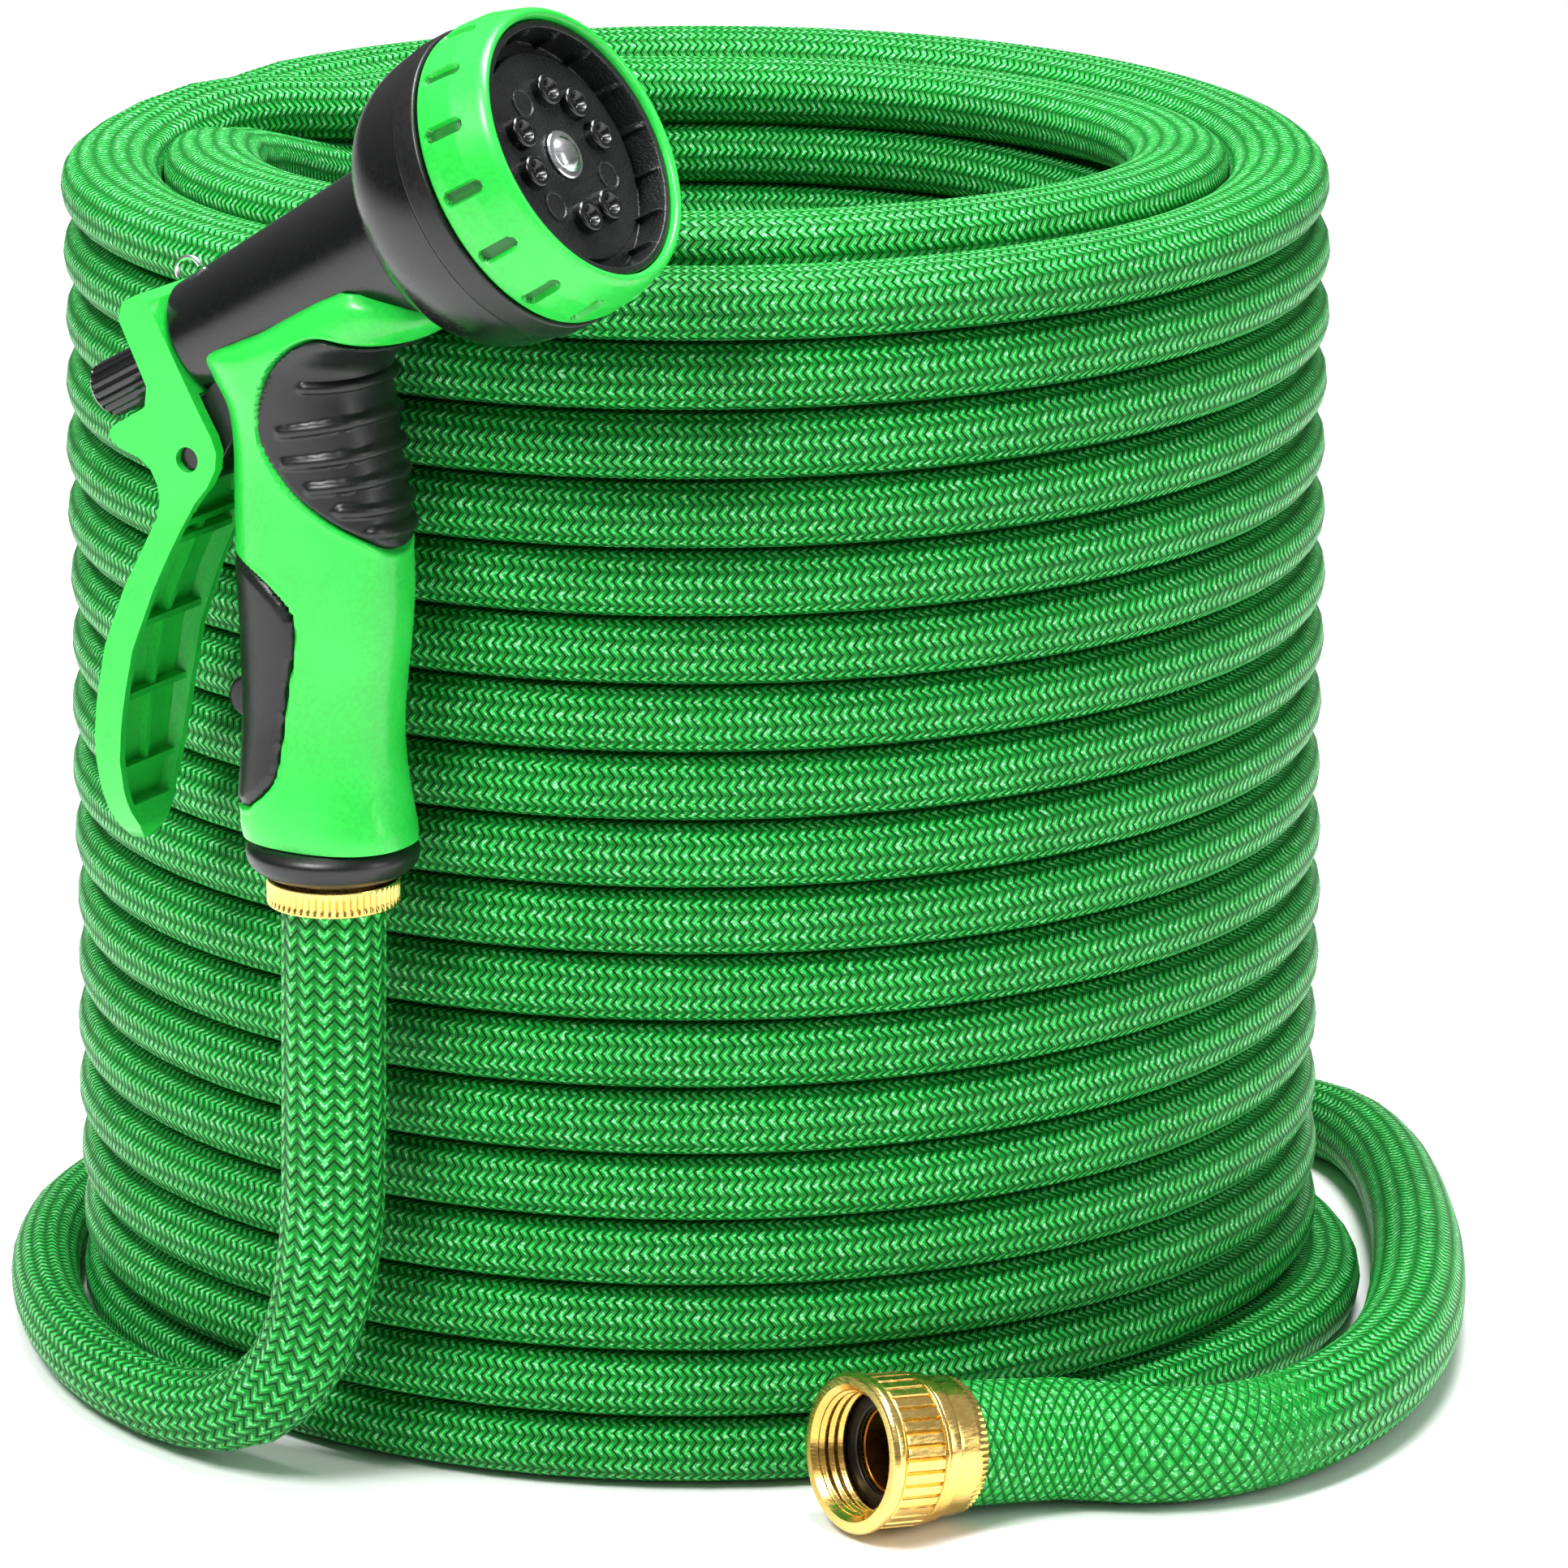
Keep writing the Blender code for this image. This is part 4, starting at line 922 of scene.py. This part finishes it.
def nut_piece(place, look):
    """The swivel nut with its ribs and thread."""
    thread = []
    for i in range(THREAD_POINTS + 1):
        depth = THREAD_START + THREAD_LENGTH * i / THREAD_POINTS
        wave = 0.5 - 0.5 * math.cos(2 * math.pi * (depth - THREAD_START) / THREAD_PITCH)
        thread.append((SOCKET_RADIUS - THREAD_HEIGHT * wave ** 1.5, depth))

    def nut_ribs(angle, radius, height):
        if radius < NUT_WAIST_RADIUS - 0.0002 or not 0.0040 < height < 0.0146:
            return 0.0
        off = off_nearest(angle, NUT_RIBS)
        return -NUT_GROOVE_DEPTH * (1 - ease(abs(off) * radius, *NUT_GROOVE_EDGE))

    lip, waist, back = 0.0009, NUT_WAIST_RADIUS, SOCKET_DEPTH
    outside = softened([
        (SWIVEL_RADIUS + GAP, NUT_LENGTH), (waist, NUT_LENGTH), (waist, 0.0150), (waist - 0.0007, 0.0148),
        (waist, 0.0146), (waist, 0.0038), (waist - 0.0007, 0.0034), (waist, 0.0031), (NUT_RADIUS, 0.0026),
        (NUT_RADIUS, lip), (NUT_RADIUS - lip, 0.0), (MOUTH_RADIUS, 0.0)], 0.0004, False)
    profile = [*refined(outside, 0.0009, False), *thread, (SOCKET_RADIUS, back), (SWIVEL_RADIUS + GAP, back)]
    nut = lathe("tap_nut", place, profile, NUT_RIBS * 12, look["brass"], nut_ribs)
    dress(nut, "coupling_nut", "brass", "coupling_nut", degrees=38)


def tail_pieces(place, look):
    """The tail with its flange, the washer before it in the nut, and the ferrule on the hose."""
    seat_back = SOCKET_DEPTH - GAP
    seat_front = seat_back - TAIL_SEAT_THICKNESS
    flange = NUT_LENGTH + GAP
    flange_end = flange + TAIL_FLANGE_LENGTH
    seat = SOCKET_RADIUS - 0.0008
    bore = TAIL_BORE_RADIUS + 0.0008
    tail = lathe("tap_tail", place, softened([
        (TAIL_FLANGE_RADIUS, flange_end), (TAIL_FLANGE_RADIUS, flange), (SWIVEL_RADIUS, flange),
        (SWIVEL_RADIUS, seat_back), (seat, seat_back), (seat, seat_front), (TAIL_BORE_RADIUS, seat_front),
        (TAIL_BORE_RADIUS, flange_end)], 0.0005), 120, look["brass"])
    second_material(tail, place, look["amber"], lambda angle, radius, height: radius < bore)
    dress(tail, "hose", "brass", "coupling_tail")
    back = seat_front - GAP
    outer = SOCKET_RADIUS - 0.0005
    outline = [(outer, back), (outer, back - WASHER_THICKNESS), (bore, back - WASHER_THICKNESS), (bore, back)]
    washer = lathe("tap_washer", place, softened(outline, 0.0005), 96, look["rubber"])
    dress(washer, "coupling_nut", "black_rubber", "coupling_washer")
    start = flange_end + GAP
    end = start + FERRULE_LENGTH
    inner = TAP_END_RADIUS + GAP
    outer = inner + FERRULE_WALL

    def serrated(angle, radius, height):
        if radius < outer - 0.0005 or height < end - 0.0014:
            return 0.0
        return -0.0005 * (1 - ribs(angle, FERRULE_TEETH, 0.7)) - 0.0002

    outline = refined(softened([(outer, end), (outer, start), (inner, start), (inner, end)], 0.0004), 0.0010)
    ferrule = lathe("tap_ferrule", place, outline, FERRULE_TEETH * 8, look["brass"], serrated)
    dress(ferrule, "hose", "brass", "coupling_ferrule", degrees=40)


# The route of the hose


def spline(points, step):
    """Points of a smooth curve through a route of x, y, z and radius, about a step apart."""
    route = [Vector(p) for p in points]
    route = [route[0] * 2 - route[1], *route, route[-1] * 2 - route[-2]]
    out = []
    for p0, p1, p2, p3 in zip(route, route[1:], route[2:], route[3:]):
        pieces = max(1, round((p2.xyz - p1.xyz).length / step))
        for i in range(pieces):
            t = i / pieces
            out.append(0.5 * (
                2 * p1 + (p2 - p0) * t + (2 * p0 - 5 * p1 + 4 * p2 - p3) * t ** 2
                + (3 * p1 - p0 - 3 * p2 + p3) * t ** 3))
    out.append(route[-2])
    return out


def outer_height(angle, turn):
    """Height of the outer layer's turn at an angle, with the lift that lets the hose out below it."""
    level = turn + ease(angle, CLIMB_START, CLIMB_END) - 1
    lift = ease(angle, *LIFT_RISE) * (1 - ease(angle, *LIFT_FALL))
    return (level + 0.5) * TURN_HEIGHT + lift * TURN_HEIGHT * (1 - (turn + 1) / COIL_LEVELS)


def inner_height(angle, turn):
    """Height of the inner layer's turn at an angle: its turns fill the coil's height, where the hose leaves
    with one more level than elsewhere, and the highest of them lie tilted."""
    top = COIL_LEVELS * TURN_HEIGHT
    here = top - (turn + 0.5) * top / INNER_TURNS
    crossing = top - (turn + 0.5) * top / COIL_LEVELS
    before = top - (turn - 0.5) * top / INNER_TURNS
    if angle > CLIMB_END:
        height = mix(before, crossing, ease(angle, CLIMB_START, CLIMB_END))
    else:
        height = mix(crossing, here, ease(angle, *INNER_SETTLE))
    tilt = INNER_RAISE + INNER_TILT * math.cos(math.radians(angle + 90))
    share = ease(angle, CLIMB_END, 90.0 if turn == 0 else CLIMB_END - 1)
    return height + tilt * math.exp(-turn / INNER_TILT_TURNS) * share


def coil_route():
    """The coil from where the nozzle's stretch joins it to where the coupling's stretch leaves it, going
    clockwise as seen from above: points of x, y, z, half width and half height."""
    out = []

    def put(angle, radius, height, half_width, half_height):
        a = math.radians(angle)
        height = max(height, half_height + GROUND_GAP)
        out.append((radius * math.cos(a), radius * math.sin(a), height, half_width, half_height))

    join_radius = Vector(NOZZLE_RUN_MM[-1][:2]).length * MM
    total = RUN_JOIN + 360 * COIL_LEVELS - CLIMB_START
    count = round(total / math.degrees(RING_STEP / OUTER_RADIUS))
    for i in range(1, count):
        angle = RUN_JOIN - total * i / count
        turn = math.floor((CLIMB_START - angle) / 360)
        local = angle + 360 * turn
        merge = ease(angle, RUN_JOIN, MERGE_END)
        radius = mix(join_radius, OUTER_RADIUS, merge)
        height = outer_height(local, turn)
        if turn == 0:
            bulge = max(0.0, 1 - abs(local - BULGE_ANGLE) / BULGE_SPREAD)
            radius += BULGE * bulge * bulge * (3 - 2 * bulge)
            if angle > CLIMB_END:
                height = 0.5 * TURN_HEIGHT
        radius += RIPPLE * math.sin(math.radians(local * 3 + turn * 77))
        half_width = mix(RUN_RADIUS, TURN_HALF_WIDTH, merge)
        put(angle, radius, height, half_width, mix(RUN_RADIUS, TURN_HALF_HEIGHT, merge))
    last = RUN_JOIN - total
    total = 360 * INNER_TURNS + CLIMB_START - COIL_END
    count = round(total / math.degrees(RING_STEP / INNER_RADIUS))
    for i in range(count):
        angle = last - total * i / count
        turn = math.floor((last - angle) / 360)
        local = CLIMB_START - (last - angle) + 360 * turn
        radius, half_width, half_height = INNER_RADIUS, TURN_HALF_WIDTH, TURN_HALF_HEIGHT
        height = inner_height(local, turn)
        if turn == 0:
            climb = ease(local, CLIMB_START, CLIMB_END)
            radius = mix(OUTER_RADIUS, INNER_RADIUS, climb)
            if local > CLIMB_END:
                height = (COIL_LEVELS - 0.5) * TURN_HEIGHT + TOP_ARCH * math.sin(math.pi * climb)
        if turn == INNER_TURNS:
            swing = max(0.0, (SWING_START - local) / SWING_SPAN)
            radius = INNER_RADIUS + SWING_OUT * swing * swing
            rounder = ease(local, *SWING_ROUNDS)
            half_width = mix(TURN_HALF_WIDTH, RUN_RADIUS, rounder)
            half_height = mix(TURN_HALF_HEIGHT, RUN_RADIUS, rounder)
        put(angle, radius, height, half_width, half_height)
    return out


def coupling_direction():
    """From the coupling's mouth into the hose."""
    turn, level = COUPLING_TURN, math.cos(COUPLING_TILT)
    return Vector((level * math.cos(turn), level * math.sin(turn), -math.sin(COUPLING_TILT)))


def run_points(run):
    """Points in metres along a free stretch, which is round in section."""
    return [(p.x * MM, p.y * MM, p.z * MM, p.w * MM, p.w * MM) for p in spline(run, RING_STEP / MM)]


def hose_route():
    """The whole hose from the nozzle to the coupling, as x, y, z, half width and half height in metres, and
    how many of its points come before the coil."""
    first, coil = run_points(NOZZLE_RUN_MM), coil_route()
    tap = [tuple(v / MM for v in coil[-1][:4]), *TAP_RUN_MM]
    for depth in (FERRULE_DEPTH + FERRULE_LENGTH, FERRULE_DEPTH + 0.001):
        end = (COUPLING_PLACE + coupling_direction() * depth) / MM
        tap.append((end.x, end.y, end.z, TAP_END_RADIUS / MM))
    return first + coil + run_points(tap)[1:], len(first)


def directions(places, coil_start):
    """The hose's direction and the upper side of its section, at every place. On the nozzle's stretch that
    side is carried along from the coil without twisting it."""
    count = len(places)
    tangents = [(places[min(i + 1, count - 1)] - places[max(i - 1, 0)]).normalized() for i in range(count)]
    upright = Vector((0, 0, 1))
    ups = {i: (upright - tangents[i] * tangents[i].z).normalized() for i in range(coil_start, count)}
    up = ups[coil_start]
    for i in reversed(range(coil_start)):
        up = (up - tangents[i] * up.dot(tangents[i])).normalized()
        ups[i] = up
    return tangents, ups


def section(place, tangent, up, half_width, half_height):
    """Points round the hose, in an oval that is the squarer the flatter the hose is."""
    side = up.cross(tangent)
    power = 1 + (2 / SECTION_POWER - 1) * ease(half_width - half_height, 0.0, OVAL_FROM)
    ring = []
    for k in range(HOSE_SIDES):
        angle = 2 * math.pi * k / HOSE_SIDES
        c, s = math.cos(angle), math.sin(angle)
        across = half_width * math.copysign(abs(c) ** power, c)
        upward = half_height * math.copysign(abs(s) ** power, s)
        ring.append(place + side * across + up * upward)
    return ring


def braid_columns(ring):
    """How many of the braid's columns come before each point of a section."""
    lengths = [(ring[k] - ring[(k + 1) % HOSE_SIDES]).length for k in range(HOSE_SIDES)]
    whole, walked, columns = sum(lengths), 0.0, [0.0]
    for length in lengths:
        walked += length
        columns.append(walked / whole * BRAID_COLUMNS)
    return columns


def braid_rows(places):
    """How many rows come before each place, how far the braid lies flat there, and the hose's length."""
    lengths = [(b - a).length for a, b in zip(places, places[1:])]
    total = sum(lengths)
    rows, flat, walked = [0.0], [], 0.0
    for length in lengths:
        flat.append(1 - ease(total - walked, *FLAT_BRAID_ENDS))
        middle = walked + length / 2
        nozzle_share = 1 - ease(middle, *NOZZLE_ROW_ENDS)
        tap_share = 1 - ease(total - middle, *COUPLING_ROW_ENDS)
        pitch = COIL_ROW + (NOZZLE_ROW - COIL_ROW) * nozzle_share + (COUPLING_ROW - COIL_ROW) * tap_share
        rows.append(rows[-1] + length / pitch)
        walked += length
    flat.append(1 - ease(total - walked, *FLAT_BRAID_ENDS))
    return rows, flat, total


def hose(axis, material):
    """One skin along the route, with a braid map: rows along the hose, and columns around it."""
    route, coil_start = hose_route()
    places = [Vector(p[:3]) + axis for p in route]
    tangents, ups = directions(places, coil_start)
    rings = [section(places[i], tangents[i], ups[i], *route[i][3:]) for i in range(len(route))]
    columns = [braid_columns(ring) for ring in rings]
    rows, flat, total = braid_rows(places)
    faces, corners = [], []
    for i in range(len(route) - 1):
        base = math.floor(rows[i])
        low, high = rows[i] - base, rows[i + 1] - base
        here, there = i * HOSE_SIDES, (i + 1) * HOSE_SIDES
        for k in range(HOSE_SIDES):
            j = (k + 1) % HOSE_SIDES
            faces.append((here + k, here + j, there + j, there + k))
            corners.extend((low, columns[i][k], low, columns[i][k + 1],
                            high, columns[i + 1][k + 1], high, columns[i + 1][k]))
    obj = mesh_object("hose", [tuple(v) for ring in rings for v in ring], faces, material)
    layer = obj.data.uv_layers.new(name="braid")
    layer.data.foreach_set("uv", corners)
    attribute = obj.data.attributes.new("flat_braid", "FLOAT", "POINT")
    attribute.data.foreach_set("value", np.repeat(np.array(flat, np.float32), HOSE_SIDES))
    obj.data.shade_smooth()
    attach(obj, "hose")
    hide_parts("hose_coil", "hose_run_nozzle", "hose_run_tap")
    return obj, places, total


# Stage


def camera(axis):
    data = bpy.data.cameras.new("camera")
    data.lens = CAMERA_LENS
    data.sensor_width = SENSOR_WIDTH
    data.clip_end = VIEW_END
    obj = link(bpy.data.objects.new("camera", data))
    obj.location = axis + CAMERA_PLACE
    obj.rotation_euler = (math.radians(90) - CAMERA_DIP, 0.0, 0.0)
    bpy.context.scene.camera = obj


def area_light(name, place, aim, size, power):
    data = bpy.data.lights.new(name, "AREA")
    data.shape = "RECTANGLE"
    data.size, data.size_y = size
    data.energy = power
    obj = link(bpy.data.objects.new(name, data))
    obj.location = place
    obj.rotation_euler = (Vector(aim) - Vector(place)).to_track_quat("-Z", "Y").to_euler()


def surroundings():
    """White where the camera sees them; in their light, dark below and white above."""
    world = bpy.data.worlds.new("surroundings")
    world.use_nodes = True
    tree = world.node_tree
    new = tree.nodes.new
    lit = tree.nodes["Background"]
    lit.inputs[1].default_value = SKY_STRENGTH
    ramp = new("ShaderNodeValToRGB")
    for element, position, grey in zip(ramp.color_ramp.elements, SKY_RAMP, (SKY_DARK, 1.0)):
        element.position = position
        element.color = (grey, grey, grey, 1.0)
    place = new("ShaderNodeTexCoord")
    split = new("ShaderNodeSeparateXYZ")
    half = new("ShaderNodeMath")
    half.operation = "MULTIPLY_ADD"
    half.inputs[1].default_value = 0.5
    half.inputs[2].default_value = 0.5
    seen = new("ShaderNodeBackground")
    seen.inputs[0].default_value = (1.0, 1.0, 1.0, 1.0)
    rays = new("ShaderNodeLightPath")
    both = new("ShaderNodeMixShader")
    for output, socket in (
            (place.outputs["Generated"], split.inputs[0]), (split.outputs[2], half.inputs[0]),
            (half.outputs[0], ramp.inputs[0]), (ramp.outputs[0], lit.inputs[0]),
            (rays.outputs["Is Camera Ray"], both.inputs[0]), (lit.outputs[0], both.inputs[1]),
            (seen.outputs[0], both.inputs[2]), (both.outputs[0], tree.nodes["World Output"].inputs[0])):
        tree.links.new(output, socket)
    return world


def studio():
    """White floor and surroundings, one broad light above, one at the front left and a fill at the right."""
    floor = Nodes("white_floor").done(Base_Color=(0.93, 0.93, 0.93, 1.0), Roughness=0.9)
    r, z = FLOOR_REACH, FLOOR_HEIGHT
    corners = [(-r, -r, z), (r, -r, z), (r, r, z), (-r, r, z)]
    plane = mesh_object("floor", corners, [(0, 1, 2, 3)], floor)
    scene = bpy.context.scene
    scene.world = surroundings()
    for light in LIGHTS:
        area_light(*light)
    scene.view_settings.view_transform = "Standard"
    scene.view_settings.look = "None"


def main():
    axis = coil_axis()
    camera(axis)
    studio()
    look = all_materials()
    tube, places, total = hose(axis, look["braid"])
    print("hose length", round(total, 3))
    nozzle = Matrix.Translation(axis + NOZZLE_PLACE) @ Matrix.Rotation(-NOZZLE_HEADING, 4, "Z")
    head = Matrix.Translation((HEAD_PLACE_MM[0] * MM, 0.0, HEAD_PLACE_MM[1] * MM))
    barrel = nozzle @ head @ Matrix.Rotation(math.pi / 2 - BARREL_RISE, 4, "Y")
    turned = coupling_direction().to_track_quat("Z", "Y").to_matrix().to_4x4()
    coupling = Matrix.Translation(axis + COUPLING_PLACE) @ turned
    for build in (bezel_piece, face_pieces, screw_piece, barrel_piece):
        build(barrel, look)
    lug_piece(nozzle, look)
    knob_piece(barrel, look)
    for build in (lever_piece, handle_pieces, base_pieces):
        build(nozzle, look)
    nut_piece(coupling, look)
    tail_pieces(coupling, look)
    kept = {"lever_pin": "gloss", "barrel_loop": "steel", "valve_stem": "gloss"}
    for node, key in kept.items():
        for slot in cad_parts[node].material_slots:
            slot.material = look[key]


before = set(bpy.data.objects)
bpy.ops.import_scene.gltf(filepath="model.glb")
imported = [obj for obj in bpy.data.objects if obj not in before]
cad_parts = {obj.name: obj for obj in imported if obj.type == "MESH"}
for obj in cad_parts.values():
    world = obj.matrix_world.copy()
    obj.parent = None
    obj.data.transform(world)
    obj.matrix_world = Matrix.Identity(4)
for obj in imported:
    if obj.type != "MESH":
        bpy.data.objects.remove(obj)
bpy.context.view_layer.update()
main()
